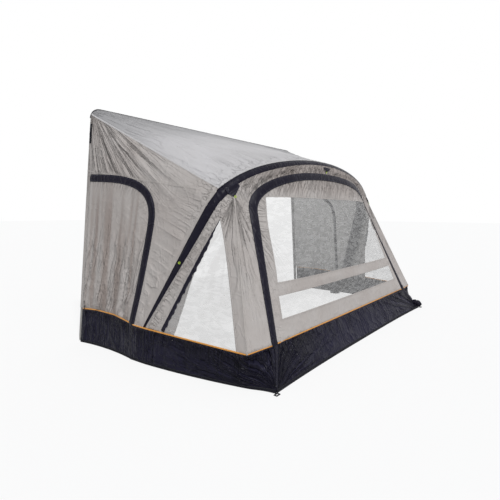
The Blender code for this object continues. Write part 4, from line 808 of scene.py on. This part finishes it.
# painted shade: how much darker each point of a cloth is painted
def paintedShadeMarks(piece, shade):
    layer = piece.data.attributes.new("paintedShade", "FLOAT", "POINT")
    layer.data.foreach_set("value", [shade(vertex.co) for vertex in piece.data.vertices])


def thicken(piece, thickness, offset=-1.0):
    wall = piece.modifiers.new("wall", "SOLIDIFY")
    wall.thickness = thickness
    wall.offset = offset
    wall.use_even_offset = False
    applyAll(piece)
    piece.data.shade_smooth()


def ridge(value, width):    # a narrow raised line where the value passes nought
    return soft(1.0 - abs(value) / width)


def fanFolds(point, fan):    # folds that spread from where the cloth is pulled
    angle, reach, fade = inFan(point, fan)
    if fade <= 0.0:
        return 0.0
    turn = angle * fan["count"]
    broad = wave(turn, reach * 0.8, fan["seed"])
    thin = wave(turn * 0.75, reach * 1.0, fan["seed"] + 9.0)
    grown = min(reach / 0.7, 1.3)
    return fan["height"] * grown * fade * (1.6 * broad + 0.8 * ridge(thin, 0.13) - 0.2)


def pucker(tree, point, scale, height, reach, seed=0.0):    # short gathers square to a seam
    spot, _, _, gap = tree.find_nearest(point)
    if gap > 4.0 * reach:
        return 0.0
    far = reach * (1.0 + 0.7 * noise.noise(spot * 5.0 + Vector((7.0, seed, 2.0))))
    value = 1.4 * noise.noise(spot * scale + Vector((seed, seed, seed)))
    value += 0.8 * ridge(noise.noise(spot * scale * 0.8 + Vector((seed, 3.0, 5.0))), 0.14) - 0.2
    return height * value * math.exp(-gap / far)


def dents(point, scale, height, seed):    # short creases that lie every way
    moved = point + 0.06 * noise.noise_vector(point * 4.0)
    value = noise.noise(moved * scale + Vector((seed, seed, 0.0)))
    other = noise.noise(moved * scale * 1.9 + Vector((0.0, seed, seed)))
    return height * (ridge(value, 0.10) + 0.6 * ridge(other, 0.14))


def swell(point, scale, height, seed):
    return height * noise.noise(point * scale + Vector((seed, 0.0, seed)))


def lowestPoint(node):
    return min((vertex.co for vertex in nodes[node].data.vertices), key=lambda spot: spot.z).copy()


def fanFrom(start, toward, beside, **values):    # a fan of folds from where the cloth is pulled
    along = (toward - start).normalized()
    across = (beside - along * beside.dot(along)).normalized()
    return {"from": start, "along": along, "across": across, **values}


def sideFans(side, way):
    railEnd = Vector((way * (roofHigh.x - 0.01), roofHigh.y, roofHigh.z - 0.01))
    tabTip = lowestPoint(f"guy_tab_{side}")
    pegLow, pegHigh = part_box(f"peg_loop_{side}")
    peg = Vector(((pegLow.x + pegHigh.x) / 2, pegHigh.y, 0.0))
    pegPull = {"spread": 1.2, "count": 9.0, "near": 0.09, "far": 1.7, "height": 0.0150}
    return {
        "rail": fanFrom(railEnd, railEnd + Vector((0, -0.50, -0.86)), Vector((0, -0.86, 0.50)), spread=0.74,
                        count=19.0, near=0.15, far=1.8, height=0.0200, seed=3.0 + way),
        "tab": fanFrom(tabTip, tabTip + Vector((way * 0.02, -0.42, -0.90)), Vector((way, 0, 0)), spread=0.75,
                       count=9.0, near=0.07, far=1.3, height=0.0300, seed=11.0 + way),
        "sidePeg": fanFrom(peg, peg + Vector((0, 0.9, 0.35)), Vector((0, -0.35, 0.9)), seed=21.0 + way, **pegPull),
        "frontPeg": fanFrom(peg, peg + Vector((-way * 0.9, 0.1, 0.35)), Vector((0, 0, 1)), seed=31.0 + way, **pegPull),
    }


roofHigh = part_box("roof_panel")[1]
fans = {side: sideFans(side, way) for side, way in bothSides}
crownFan = {
    "from": lowestPoint("guy_tab_centre"), "along": Vector((0, -0.8, -0.6)), "across": Vector((1, 0, 0)),
    "spread": 1.2, "count": 6.0, "near": 0.05, "far": 0.5, "height": 0.0200, "seed": 41.0,
}


def roofField(point):
    lift = swell(point, 1.9, 0.014, 5.0)
    lift += swell(Vector((point.x * 5.0, point.y * 0.9, 0.0)), 1.0, 0.0060, 8.0)
    lift += pucker(beamTree, point, 12.0, 0.0170, 0.20) + pucker(railTree, point, 9.0, 0.0090, 0.14)
    lift += dents(point, 3.0, 0.0030, 2.0)
    for roofFan in roofFans:
        lift += fanFolds(point, roofFan)
    return lift


def sideField(side):
    def field(point):
        lift = fanFolds(point, fans[side]["rail"]) + swell(point, 2.6, 0.010, 2.0)
        lift += pucker(beamTree, point, 15.0, 0.0120, 0.18, 2.0) + pucker(zipTree, point, 15.0, 0.0060, 0.08)
        return lift + dents(point, 5.0, 0.0032, 4.0)
    return field


def doorField(side):
    def field(point):
        low = soft((1.75 - point.z) / 1.3)
        folds = wave(point.y * 11.0 + point.z * 1.2, point.z * 1.1, 4.0 if side == "left" else 14.0)
        thin = wave(point.y * 19.0 + point.z * 2.5, point.z * 2.0, 6.0)
        lift = 0.034 * low * folds + 0.012 * ridge(thin, 0.12) * low
        lift += pucker(zipTree, point, 14.0, 0.0090, 0.10, 1.0) + dents(point, 8.0, 0.0040 * low + 0.002, 3.0)
        return lift + swell(point, 7.0, 0.0050 * low + 0.002, 9.0)
    return field


def sideFrontField(point):
    return pucker(beamTree, point, 22.0, 0.0075, 0.08) + dents(point, 9.0, 0.0024, 3.0)


def surroundField(point):
    lift = fanFolds(point, tabFans[0]) + fanFolds(point, tabFans[1]) + fanFolds(point, crownFan)
    lift += pucker(beamTree, point, 15.0, 0.0170, 0.12, 3.0) + pucker(zipTree, point, 15.0, 0.0120, 0.12, 6.0)
    slant = wave(point.x * 11.0 + point.z * 8.0, point.z * 2.0, 3.0)
    return lift + 0.0120 * slant + dents(point, 8.0, 0.0036, 8.0)


def frontField(point):
    slant = wave(point.x * 12.0 + point.z * 9.0, point.z * 2.5, 1.0)
    lift = pucker(zipTree, point, 12.0, 0.0140, 0.13, 4.0) + swell(point, 3.0, 0.008, 7.0)
    return lift + 0.0060 * slant + dents(point, 8.0, 0.0040, 1.0)


def mudwallSideField(side):
    def field(point):
        lift = fanFolds(point, fans[side]["sidePeg"]) + pucker(pipingTree, point, 20.0, 0.0110, 0.08)
        upright = wave(point.y * 13.0, point.z * 1.5, 8.0)
        return lift + 0.012 * upright + dents(point, 8.0, 0.0060, 4.0)
    return field


def mudwallFrontField(point):
    lift = fanFolds(point, pegFans[0]) + fanFolds(point, pegFans[1])
    lift += pucker(pipingTree, point, 16.0, 0.0080, 0.08) + swell(point, 6.0, 0.0080, 4.0)
    return lift + dents(point, 7.0, 0.0055, 5.0)


def doorDrop(point):    # a door's folds hang down
    return Vector((point.y * 10.0 + point.z * 1.2, point.z * 1.2, point.x)), 0.8 * soft((1.75 - point.z) / 1.2)


def roofShade(point):    # painted shade: darker where the cloth turns down to the rail
    return 0.72 * (1.0 - soft((roofHigh.y - point.y) / 1.15))


def doorShade(point):    # painted shade: brownish streaks that run down the door
    streak = wave(point.y * 9.0, point.z * 0.5, 3.0) + 0.5 * wave(point.y * 22.0, point.z * 0.8, 7.0)
    return 0.62 * soft(streak * 1.6 + 0.25) * soft((1.85 - point.z) / 0.6)


def frontShade(point):    # painted shade: darker where the cloth leans over at the crown
    return 0.42 * soft((point.z - 1.50) / 0.32)


# painted shade: darker along the top of the front panel
def panelShade(point):
    return 0.22 * soft((point.z - 1.52) / 0.10)


def frontDrop(point):    # slanting folds over the crown, and the tabs' own folds below
    place, share = fanMark(point, tabFans)
    high = 0.95 * soft((point.z - 1.42) / 0.22)
    if share > 0.55 or share > high:
        return place, share
    return Vector((point.x * 20.0 - point.z * 15.0, point.z * 2.4, 9.0)), high


def hemDrop(side):
    def drop(point):
        place, share = fanMark(point, [fans[side]["sidePeg"]])
        if share > 0.25:
            return place, share
        return Vector((point.y * 16.0, point.z * 3.0, 5.0)), 0.6
    return drop


roofFans = []
for side, way in bothSides:
    roofFan = dict(fans[side]["rail"], spread=1.1, count=8.0, height=0.0110, far=2.1)
    roofFan["along"] = Vector((-way * 0.6, -0.75, -0.28)).normalized()
    roofFan["across"] = Vector((-way * 0.75, 0.6, 0.0)).normalized()
    roofFans.append(roofFan)
tabFans, pegFans = ([fans[side][kind] for side in sides] for kind in ("tab", "frontPeg"))

out = {"left": Vector((-1, 0, 0.1)), "right": Vector((1, 0, 0.1))}
forward = Vector((0, -1, 0.2))
upward = Vector((0, -0.2, 1))

wallPanel = dict(body="awning", cloth=wallCloth, levels=4, fans=[])
mudwall = dict(cloth=mudwallCloth, levels=3, own=0.04, fans=[])
clothList = [
    dict(name="roofCloth", node="roof_panel", face=upward, body="awning", cloth=roofCloth, levels=3,
         field=roofField, flat=(3.95, 1.95), fans=roofFans, shade=roofShade,
         held=[(beamTree, 20.0, 0.22, -1.0), (railTree, 14.0, 0.10, -1.0)]),
    dict(wallPanel, name="frontSurround", node="front_surround", face=forward, levels=3, field=surroundField,
         flat=(5.6, 0.20), own=0.035, drop=frontDrop, shade=frontShade,
         held=[(beamTree, 26.0, 0.10, 1.2), (zipTree, 26.0, 0.05, 1.0)]),
    dict(wallPanel, name="frontPanel", node="front_panel", face=forward, body="front", field=frontField,
         flat=(3.10, 1.55), drop=frontDrop, shade=panelShade, held=[(zipTree, 26.0, 0.08, 0.9)]),
    dict(mudwall, name="frontMudwall", node="mudwall_front", face=forward, body="front", field=mudwallFrontField,
         flat=(3.56, 0.32), fans=pegFans, held=[(pipingTree, 24.0, 0.12, -1.0)]),
]
for side in sides:
    hem = dict(mudwall, field=mudwallSideField(side), drop=hemDrop(side), held=[(pipingTree, 26.0, 0.10, -1.0)])
    rail, tab = [fans[side]["rail"]], [fans[side]["tab"]]
    clothList += [
        dict(wallPanel, name=f"upperSide_{side}", node=f"side_yoke_{side}", face=out[side], field=sideField(side),
             flat=(1.60, 0.85), fans=rail, held=[(beamTree, 22.0, 0.16, 1.1)]),
        dict(wallPanel, name=f"sideWall_{side}", node=f"side_panel_{side}", face=out[side], field=sideField(side),
             flat=(1.30, 1.40), fans=rail, held=[(beamTree, 22.0, 0.16, 1.15), (zipTree, 24.0, 0.05, 1.3)]),
        dict(wallPanel, name=f"legStrip_{side}", node=f"side_front_{side}", face=out[side],
             field=sideFrontField, flat=(0.50, 1.40), own=0.03, fans=tab, held=[(beamTree, 34.0, 0.07, -0.3)]),
        dict(wallPanel, name=f"doorCloth_{side}", node=f"door_panel_{side}", face=out[side], body=f"door_{side}",
             levels=3, field=doorField(side), flat=(0.88, 1.36), drop=doorDrop, shade=doorShade,
             held=[(zipTree, 24.0, 0.06, 1.2)]),
        dict(hem, name=f"doorMudwall_{side}", node=f"door_mudwall_{side}", face=out[side], body=f"door_{side}",
             flat=(0.87, 0.36)),
        dict(hem, name=f"sideMudwall_{side}", node=f"mudwall_side_{side}", face=out[side] + forward * 0.3,
             body="awning", flat=(1.55, 0.35)),
    ]


def skinArea(mesh):
    return sum(face.calc_area() for face in mesh.faces)


clothPieces = {}
for item in clothList:
    mesh = outerSkin(item["node"], item["face"])
    item["area"] = skinArea(mesh)
    widen(mesh, seamReach)
    if item["name"].startswith("doorCloth"):
        for vertex in mesh.verts:
            vertex.co.y = min(vertex.co.y, hingeLine - hingeRoom)
    clothPieces[item["name"]] = refined(item["name"], mesh, item["levels"])
    keepShell(clothPieces[item["name"]])


def spreadWindow(piece, window, surface):    # takes its upper corners further out, as they are sewn
    for vertex in piece.data.vertices:
        reach = abs(vertex.co.x)
        height = soft((vertex.co.z - window["starts"]) / window["within"])
        part = (vertex.co.z - window["foot"]) / window["tall"]
        inside = window["footHalf"] + (window["topHalf"] - window["footHalf"]) * part
        share = reach / inside if reach < inside else 1.0 - (reach - inside) / window["rim"]
        if height <= 0.0 or share <= 0.0:
            continue
        moved = vertex.co.copy()
        moved.x += math.copysign(window["further"] * height * min(share, 1.0), moved.x)
        spot, facing, _, _ = surface.find_nearest(moved)
        old, oldFacing, _, _ = surface.find_nearest(vertex.co)
        vertex.co = spot + facing * (vertex.co - old).dot(oldFacing)


upperWindow = {
    "foot": 0.73, "tall": 0.78, "footHalf": 1.299, "topHalf": 1.055, "further": 0.068, "rim": 0.17,
    "starts": 0.74, "within": 0.62,
}
panelSurface = treeOf(["front_panel", "front_window_upper"])
spreadWindow(clothPieces["frontPanel"], upperWindow, panelSurface)
ridgeReach = 0.085
ridgeStep = 0.006
ridgeFade = 0.15
lapLift = 0.0035
restLift = 0.0030
clothWall = 0.0012
flapWall = 0.0014
ridges = {}
for side in sides:
    roof, upper = clothPieces["roofCloth"], clothPieces[f"upperSide_{side}"]
    trees = shellTree([roof.name]), shellTree([upper.name])
    spots = evenPath(seamPath(roof.name, upper.name), ridgeStep)
    ridges[side] = []
    for index, spot in enumerate(spots):
        normals = [tree.find_nearest(spot)[1] for tree in trees]
        fade = soft(min(index, len(spots) - 1 - index) * ridgeStep / ridgeFade)
        drop = 0.5 * math.tan(0.5 * normals[0].angle(normals[1])) * fade
        ridges[side].append((spot, (normals[0] + normals[1]).normalized(), drop))
    roundOver(roof, ridges[side], ridgeReach)
    roundOver(upper, ridges[side], ridgeReach)
    for name in (f"sideWall_{side}", f"legStrip_{side}"):
        lapOver(clothPieces[name], beamTree, 0.015, lapLift)
lapOver(clothPieces["frontSurround"], beamTree, 0.028, lapLift)
ridgeTree = spotTree([spot for side in sides for spot, _, _ in ridges[side]])

for item in clothList:
    piece = clothPieces[item["name"]]
    onRidge = piece.name.startswith(("roofCloth", "upperSide"))
    crease(piece, item["field"], item.get("own"), ridgeTree if onRidge else None)
    if piece.name.startswith(("sideWall", "legStrip", "frontSurround")):
        restOn(piece, beamTree, restLift)
    edgeMarks(piece)
    foldMarks(piece, item["fans"], item["held"], item.get("drop"))
    paintedShadeMarks(piece, item.get("shade", lambda point: 0.0))
    keepShell(piece)
    thicken(piece, clothWall)
    markSides(piece)
    finishPiece(piece, item["body"], item["cloth"], item["node"])
    area = cutArea(item["flat"], item["area"])
print("cloth panels made")


# Clear windows, one thin sheet each

filmBack = 0.0008    # the film lies this far behind the cloth's edge
windowList = [("frontWindow_upper", "front_window_upper", forward, "front", (2.60, 0.83)),
              ("frontWindow_lower", "front_window_lower", forward, "front", (2.75, 0.21))]
for side in sides:
    windowList.append((f"sideWindow_{side}", f"side_window_{side}", out[side], "awning", (0.80, 1.06)))

for name, node, face, body, flat in windowList:
    mesh = outerSkin(node, face)
    area = cutArea(flat, skinArea(mesh))
    widen(mesh, 0.006)
    piece = refined(name, mesh, 3)
    if name == "frontWindow_upper":
        spreadWindow(piece, upperWindow, panelSurface)
    crease(piece, lambda point: swell(point, 3.5, 0.005, 2.0) + dents(point, 9.0, 0.0022, 6.0), 0.05)
    side = name.split("_")[1]
    foldMarks(piece, [fans[side]["tab"]] if side in fans else tabFans + [crownFan], [])
    keepShell(piece)
    with opened(piece) as mesh:
        for vertex in mesh.verts:
            vertex.co -= vertex.normal * filmBack
    piece.data.shade_smooth()
    finishPiece(piece, body, clearFilm, node)
print("windows made")


# Flaps over the zips, tabs and straps

flapList = [("frontZipFlap", "front_zip_cover", forward, "front", navyCloth, (5.70, 0.077), 2),
            ("crownTab", "guy_tab_centre", forward, "awning", navyCloth, (0.15, 0.10), 3)]
for side in sides:
    flapList += [
        (f"doorZipFlap_{side}", f"door_zip_cover_{side}", out[side], f"door_{side}", navyCloth, (2.15, 0.077), 2),
        (f"shoulderTab_{side}", f"guy_tab_{side}", forward + out[side], "awning", navyCloth, (0.15, 0.12), 3),
        (f"railStrap_{side}", f"rail_strap_{side}", out[side], "awning", blackTape, (0.028, 0.20), 3),
    ]

for name, node, face, body, material, flat, levels in flapList:
    mesh = outerSkin(node, face)
    area = cutArea(flat, skinArea(mesh))
    piece = refined(name, mesh, levels, 2)
    crease(piece, lambda point: swell(point, 26.0, 0.0011, 2.0) + swell(point, 60.0, 0.0005, 3.0), 0.012)
    edgeMarks(piece)
    keepShell(piece)
    thicken(piece, flapWall)
    finishPiece(piece, body, material, node)
print("flaps and tabs made")


# Round pieces: the sleeve, cords, bead and pads

def roundPiece(name, mesh, levels, grow):
    piece = refined(name, mesh, levels, 1)
    with opened(piece) as mesh:
        mesh.normal_update()
        for vertex in mesh.verts:
            vertex.co += vertex.normal * grow
    piece.data.shade_smooth()
    return piece


def sleeveField(point):
    return 0.0012 * noise.noise(point * 14.0) + 0.0008 * noise.noise(point * 40.0)


sleeveFlat = (6.6, 0.50)
sleeve = roundPiece("beamSleeve", outerSkin("beam_sleeve", Vector((0.0, -0.8, 0.6))), 2, 0.0027)
sleeveArea = cutArea(sleeveFlat, sum(polygon.area for polygon in sleeve.data.polygons))
crease(sleeve, sleeveField, 0.03)
edgeMarks(sleeve)
thicken(sleeve, clothWall)
finishPiece(sleeve, "awning", navyCloth, "beam_sleeve")

roundList = [
    ("airTube", "beam_bladder", "awning", airTube, 1, -0.001),
    ("frontPiping", "piping_front", "front", orangePiping, 2, 0.0011),
    ("railBead", "keder_bead", "awning", blackTape, 2, 0.0006),
    ("crownLoop", "guy_loop_centre", "awning", hiVisCord, 1, 0.0006),
]
for side in sides:
    roundList += [
        (f"sidePiping_{side}", f"piping_side_{side}", "awning", orangePiping, 2, 0.0011),
        (f"doorPiping_{side}", f"door_piping_{side}", f"door_{side}", orangePiping, 2, 0.0011),
        (f"tabLoop_{side}", f"guy_loop_{side}", "awning", hiVisCord, 1, 0.0006),
        (f"legLoop_{side}", f"leg_loop_{side}", "awning", hiVisCord, 1, 0.0006),
        (f"rearPad_{side}", f"rear_pad_{side}", "awning", foamCover, 3, 0.001),
    ]
pipingReach = 0.045    # the front piping runs this much further, to the zip
for name, node, body, material, levels, grow in roundList:
    piece = roundPiece(name, nodeCopy(node), levels, grow)
    if name == "frontPiping":
        ends = max(abs(vertex.co.x) for vertex in piece.data.vertices)
        for vertex in piece.data.vertices:
            if abs(vertex.co.x) > ends - 0.02:
                vertex.co.x += math.copysign(pipingReach, vertex.co.x)
    finishPiece(piece, body, material, node)
print("round pieces made")


# Seams, bindings and strips sewn on the cloth

flatSeam = {"width": 0.016, "height": 0.0011}
cornerSeam = {"width": 0.018, "height": 0.0012}
windowBinding = {"width": 0.013, "height": 0.0012, "step": 0.010}
hemStrip = {"width": 0.026, "height": 0.0012, "shift": 0.5, "toward": Vector((0, 0, 1)), "step": 0.015}
pipingLining = {"width": 0.030, "height": -0.0012, "lift": -0.0016}
pipingEnd = {"width": 0.012, "height": 0.0012, "flat": True, "step": 0.010}
pegGusset = {"width": 0.080, "height": 0.0012, "lift": 0.0016, "step": 0.010, "taper": lambda share: 1.0 - 0.78 * share}
doorGusset = dict(pegGusset, width=0.078, taper=lambda share: 1.0 - 0.25 * share)
innerFlap = {"width": 0.036, "height": -0.0012, "lift": -0.0060, "step": 0.014}
sleeveEdge = {
    "width": 0.044, "height": 0.0011, "lift": 0.0006, "shift": 0.55, "step": 0.008, "toward": Vector((0, -1, 0)),
    "taper": lambda share: (0.25 + 0.75 * soft(share * 3.0)) * (1.0 + 0.35 * wave(share * 27.0, 2.0, 0.0)),
}
flapSeen = {
    "width": 0.160, "height": -0.0012, "lift": -0.0100, "shift": 0.5, "flat": True, "toward": Vector((0, -1, 0)),
    "taper": lambda share: 0.05 + 0.95 * share,
}


def nearTree(tree, within):
    return lambda spot: tree.find_nearest(spot)[3] < within


def downward(path):
    return path if path[0].z > path[-1].z else path[::-1]


allCloth = shellTree([item["name"] for item in clothList] + [item[0] for item in windowList])
for side in sides:
    for name, first, second, look, material in (
        ("ridgeSeam", "roofCloth", f"upperSide_{side}", flatSeam, roofCloth),
        ("upperSeam", f"upperSide_{side}", f"sideWall_{side}", flatSeam, wallCloth),
        ("cornerSeam", "frontSurround", f"legStrip_{side}", cornerSeam, wallCloth),
    ):
        layBand(f"{name}_{side}", seamPath(first, second), allCloth, look, "awning", material)
    filmTree = shellTree([f"sideWindow_{side}"])
    for number, run in enumerate(bordersNear(f"legStrip_{side}", nearTree(filmTree, 0.01))[:2]):
        layBand(f"sideBinding_{side}_{number}", run, allCloth, windowBinding, "awning", wallCloth)
for part in ("upper", "lower"):
    path = seamPath("frontPanel", f"frontWindow_{part}")
    layBand(f"windowBinding_{part}", path, allCloth, windowBinding, "front", wallCloth)

for name, body in (("frontMudwall", "front"), ("doorMudwall_left", "door_left"), ("doorMudwall_right", "door_right"),
                   ("sideMudwall_left", "awning"), ("sideMudwall_right", "awning")):
    under = shellTree([name])
    low = bordersNear(name, lambda spot: spot.z < 0.05)[0]
    layBand(f"{name}_hem", low, under, hemStrip, body, blackTape)
    top = bordersNear(name, nearTree(pipingTree, 0.010))[0]
    layBand(f"{name}_lining", top, under, pipingLining, body, navyCloth)


def middleOf(spots, wanted):    # the middle of the points that are wanted
    ends = [spot for spot in spots if wanted(spot)]
    return sum(ends, Vector()) / len(ends)


def footOf(node, way):    # the middle of a flap's lower end on one side
    spots = [vertex.co for vertex in nodes[node].data.vertices if vertex.co.x * way > 0]
    lowest = min(spot.z for spot in spots)
    return middleOf(spots, lambda spot: spot.z < lowest + 0.02)


def endNear(node, foot):    # the middle of a piping's end beside a flap
    spots = [vertex.co for vertex in nodes[node].data.vertices]
    closest = min((spot - foot).length for spot in spots)
    return middleOf(spots, lambda spot: (spot - foot).length < closest + 0.006)


def longerBy(path, more):    # the path with its last stretch carried on
    return path + [path[-1] + (path[-1] - path[-3]).normalized() * more]


flapFoot = 0.348    # the flap behind the side window ends this high, at the piping
for side, way in bothSides:
    under = shellTree(["frontMudwall", "frontZipFlap"])
    foot = footOf("front_zip_cover", way)
    pegLow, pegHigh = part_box(f"peg_loop_{side}")
    peg = Vector((way * (min(abs(pegLow.x), abs(pegHigh.x)) - 0.005), pegHigh.y + 0.02, 0.012))
    path = [under.find_nearest(foot.lerp(peg, share / 24))[0] for share in range(-2, 25)]
    layBand(f"pegGusset_{side}", path, under, pegGusset, "front", navyCloth)
    outer, inner = endNear(f"piping_side_{side}", foot), endNear("piping_front", foot)
    run = (inner - outer).normalized()
    path = [outer - run * 0.008, outer, inner, inner + run * 0.055]
    layBand(f"pipingEnd_{side}", path, under, pipingEnd, "front", orangePiping)
    under = shellTree([f"doorMudwall_{side}", f"doorZipFlap_{side}"])
    path = downward(seamPath(f"doorMudwall_{side}", f"sideMudwall_{side}", 0.03))
    foot = footOf(f"door_zip_cover_{side}", way)
    path = [foot + (foot - path[-1]).normalized() * 0.04, foot] + path[2:]
    layBand(f"doorGusset_{side}", path, under, doorGusset, f"door_{side}", navyCloth)
    path = bordersNear(f"doorCloth_{side}", nearTree(treeOf([f"door_zip_cover_{side}"]), 0.05))[0]
    layBand(f"doorInnerFlap_{side}", path, shellTree([f"doorCloth_{side}"]), innerFlap, f"door_{side}", navyCloth)
    film, strip = shellTree([f"sideWindow_{side}"]), shellTree([f"legStrip_{side}"])
    run = bordersNear(f"sideWindow_{side}", nearTree(strip, 0.012))[0]
    top = max(range(len(run)), key=lambda index: run[index].z)
    rear = downward(max(run[:top + 1], run[top:], key=lambda part: max(spot.y for spot in part)))
    rear = longerBy([spot for spot in rear if spot.z > flapFoot], 0.012)
    layBand(f"sleeveEdge_{side}", rear, film, sleeveEdge, "awning", navyCloth)
    layBand(f"flapInside_{side}", longerBy(rear[len(rear) // 3:], 0.016), film, flapSeen, "awning", wallCloth)


def gatheredHem(name, middle, size, body):    # the slack of the hem, gathered round the far peg
    mesh = bmesh.new()
    bmesh.ops.create_uvsphere(mesh, u_segments=48, v_segments=28, radius=1.0)
    turn = Matrix.Rotation(math.radians(size["turn"]), 3, "Z") @ Matrix.Rotation(math.radians(size["tilt"]), 3, "Y")
    for vertex in mesh.verts:
        spot = vertex.co.copy()
        around = math.atan2(spot.z, spot.y)
        folds = 0.16 * wave(math.cos(around) * 2.4, math.sin(around) * 2.4, spot.x * 0.8)
        folds += 0.10 * ridge(wave(around * 2.2, spot.x * 1.2, 4.0), 0.15)
        neck = 1.0 - 0.35 * math.exp(-((spot.x + 0.25) / 0.16) ** 2)
        spot = Vector((spot.x, spot.y * neck, spot.z * neck)) * (1.0 + folds)
        spot = Vector((spot.x * size["long"], spot.y * size["thick"], spot.z * size["thick"]))
        vertex.co = middle + turn @ spot
    piece = newPiece(name, mesh)
    finishPiece(piece, body, navyCloth)


farLow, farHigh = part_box("peg_loop_right")
bundle = {"long": 0.075, "thick": 0.042, "turn": -38.0, "tilt": 24.0}
gatheredHem("gatheredHem", Vector((farLow.x - 0.005, farHigh.y + 0.03, 0.062)), bundle, "awning")


toggleProfile = [(-0.017, 0.0005), (-0.0165, 0.0028), (-0.014, 0.0042), (-0.004, 0.0042), (-0.0025, 0.0030)]
toggleProfile += [(-along, radius) for along, radius in toggleProfile[::-1]]


def toggle(name, middle, body):    # a small bar with rounded ends, to hold the rolled door
    mesh = bmesh.new()
    rings = []
    for along, radius in toggleProfile:
        angles = [math.tau * number / 16 for number in range(16)]
        rings.append([
            mesh.verts.new(middle + Vector((math.cos(angle) * radius, math.sin(angle) * radius, along)))
            for angle in angles
        ])
    for ring, following in zip(rings, rings[1:]):
        for number in range(16):
            after = (number + 1) % 16
            mesh.faces.new((ring[number], ring[after], following[after], following[number]))
    mesh.faces.new(rings[0][::-1])
    mesh.faces.new(rings[-1])
    finishPiece(newPiece(name, mesh), body, mouldedPlastic)


for side, way in bothSides:
    wall = shellTree([f"doorCloth_{side}"])
    doorLow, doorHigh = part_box(f"door_panel_{side}")
    spot, facing, _, _ = wall.find_nearest(Vector((doorHigh.x if way > 0 else doorLow.x, doorHigh.y - 0.05, 0.42)))
    for number, drop in enumerate((0.0, 0.055)):
        toggle(f"doorToggle_{side}_{number}", spot + facing * 0.007 - Vector((0, 0, drop)), f"door_{side}")
print("seams and strips made")


# Zip tapes, and what stays as it is in the frame

tapeList = [("frontZipTape_inner", "front_zip_tape_panel", "front"),
            ("frontZipTape_outer", "front_zip_tape_surround", "awning")]
for side in sides:
    tapeList.append((f"doorZipTape_{side}", f"door_zip_tape_{side}", f"door_{side}"))
    tapeList.append((f"sideZipTape_{side}", f"side_zip_tape_{side}", "awning"))
for name, node, body in tapeList:
    piece = newPiece(name, nodeCopy(node), False)
    piece.data.set_sharp_from_angle(angle=math.radians(40))
    finishPiece(piece, body, blackTape, node)

fittings = {name: mouldedPlastic for name in nodesWith("slider", "valve", "beam_foot")}
fittings.update({name: blackTape for name in nodesWith("peg_loop")})
for name, material in fittings.items():
    nodes[name].data.materials.clear()
    nodes[name].data.materials.append(material)
print("zips and fittings made")


# Camera, light and floor

view = {"place": (-4.114, -2.785, 1.352), "yaw": 50.92, "pitch": -5.43, "roll": 0.215, "lens": 28.49, "sensor": 36.0}


def makeCamera():
    yaw, pitch, roll = (math.radians(view[name]) for name in ("yaw", "pitch", "roll"))
    ahead = Vector((math.sin(yaw) * math.cos(pitch), math.cos(yaw) * math.cos(pitch), math.sin(pitch)))
    right = Vector((math.cos(yaw), -math.sin(yaw), 0.0))
    up = right.cross(ahead)
    turnedRight = right * math.cos(roll) + up * math.sin(roll)
    turnedUp = up * math.cos(roll) - right * math.sin(roll)
    data = bpy.data.cameras.new("camera")
    data.lens = view["lens"]
    data.sensor_width = view["sensor"]
    data.clip_end = 200.0
    camera = bpy.data.objects.new("camera", data)
    turn = Matrix((turnedRight, turnedUp, -ahead)).transposed().to_4x4()
    turn.translation = Vector(view["place"])
    camera.matrix_world = turn
    bpy.context.scene.collection.objects.link(camera)
    bpy.context.scene.camera = camera


def addLamp(name, energy, comesFrom, width):
    data = bpy.data.lights.new(name, "SUN")
    data.energy = energy
    data.angle = math.radians(width)
    lamp = bpy.data.objects.new(name, data)
    lamp.rotation_euler = Vector(comesFrom).to_track_quat("Z", "Y").to_euler()
    bpy.context.scene.collection.objects.link(lamp)


def seenBy(tree, *rays):    # 1 where one of these rays looks
    path = addNode(tree, "LightPath", (-400, 300)).outputs
    seen = path[f"Is {rays[0]} Ray"]
    for ray in rays[1:]:
        seen = maths(tree, "MAXIMUM", (-200, 300), seen, path[f"Is {ray} Ray"])
    return seen


def mixShaders(tree, share, first, second, place):
    return addNode(tree, "MixShader", place, {0: share, 1: first.outputs[0], 2: second.outputs[0]}).outputs[0]


def makeFloor():
    bpy.ops.object.select_all(action="DESELECT")
    bpy.ops.mesh.primitive_plane_add(size=120.0, location=(0, 0, -0.004))
    floor = bpy.context.object
    floor.name = "floor"
    material, tree, _ = newMaterial("paleFloor", {"Base Color": (0.82, 0.82, 0.82), "Roughness": 0.9})
    light = addNode(tree, "Emission", (0, -300), Strength=1.0)
    part = maths(tree, "MULTIPLY", (0, 300), seenBy(tree, "Camera", "Transmission"), 0.80)
    mixed = mixShaders(tree, part, tree.nodes["Principled BSDF"], light, (300, 0))
    feed(tree, tree.nodes["Material Output"].inputs["Surface"], mixed)
    floor.data.materials.append(material)
    floor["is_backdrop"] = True


def makeWorld():
    world = bpy.data.worlds.new("studio")
    bpy.context.scene.world = world
    world.use_nodes = True
    tree = world.node_tree
    back = tree.nodes["Background"]
    back.inputs["Color"].default_value = (0.93, 0.96, 1.0, 1.0)
    back.inputs["Strength"].default_value = 0.42
    white = addNode(tree, "Background", (0, -200), Color=(1, 1, 1), Strength=1.0)
    mixed = mixShaders(tree, seenBy(tree, "Camera", "Glossy", "Transmission"), back, white, (200, 0))
    feed(tree, tree.nodes["World Output"].inputs["Surface"], mixed)


makeCamera()
makeWorld()
makeFloor()
addLamp("keyLight", 2.35, (-0.25, -0.58, 0.77), 7.0)
bpy.context.scene.view_settings.view_transform = "Standard"
print("camera, light and floor made")

low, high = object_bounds()
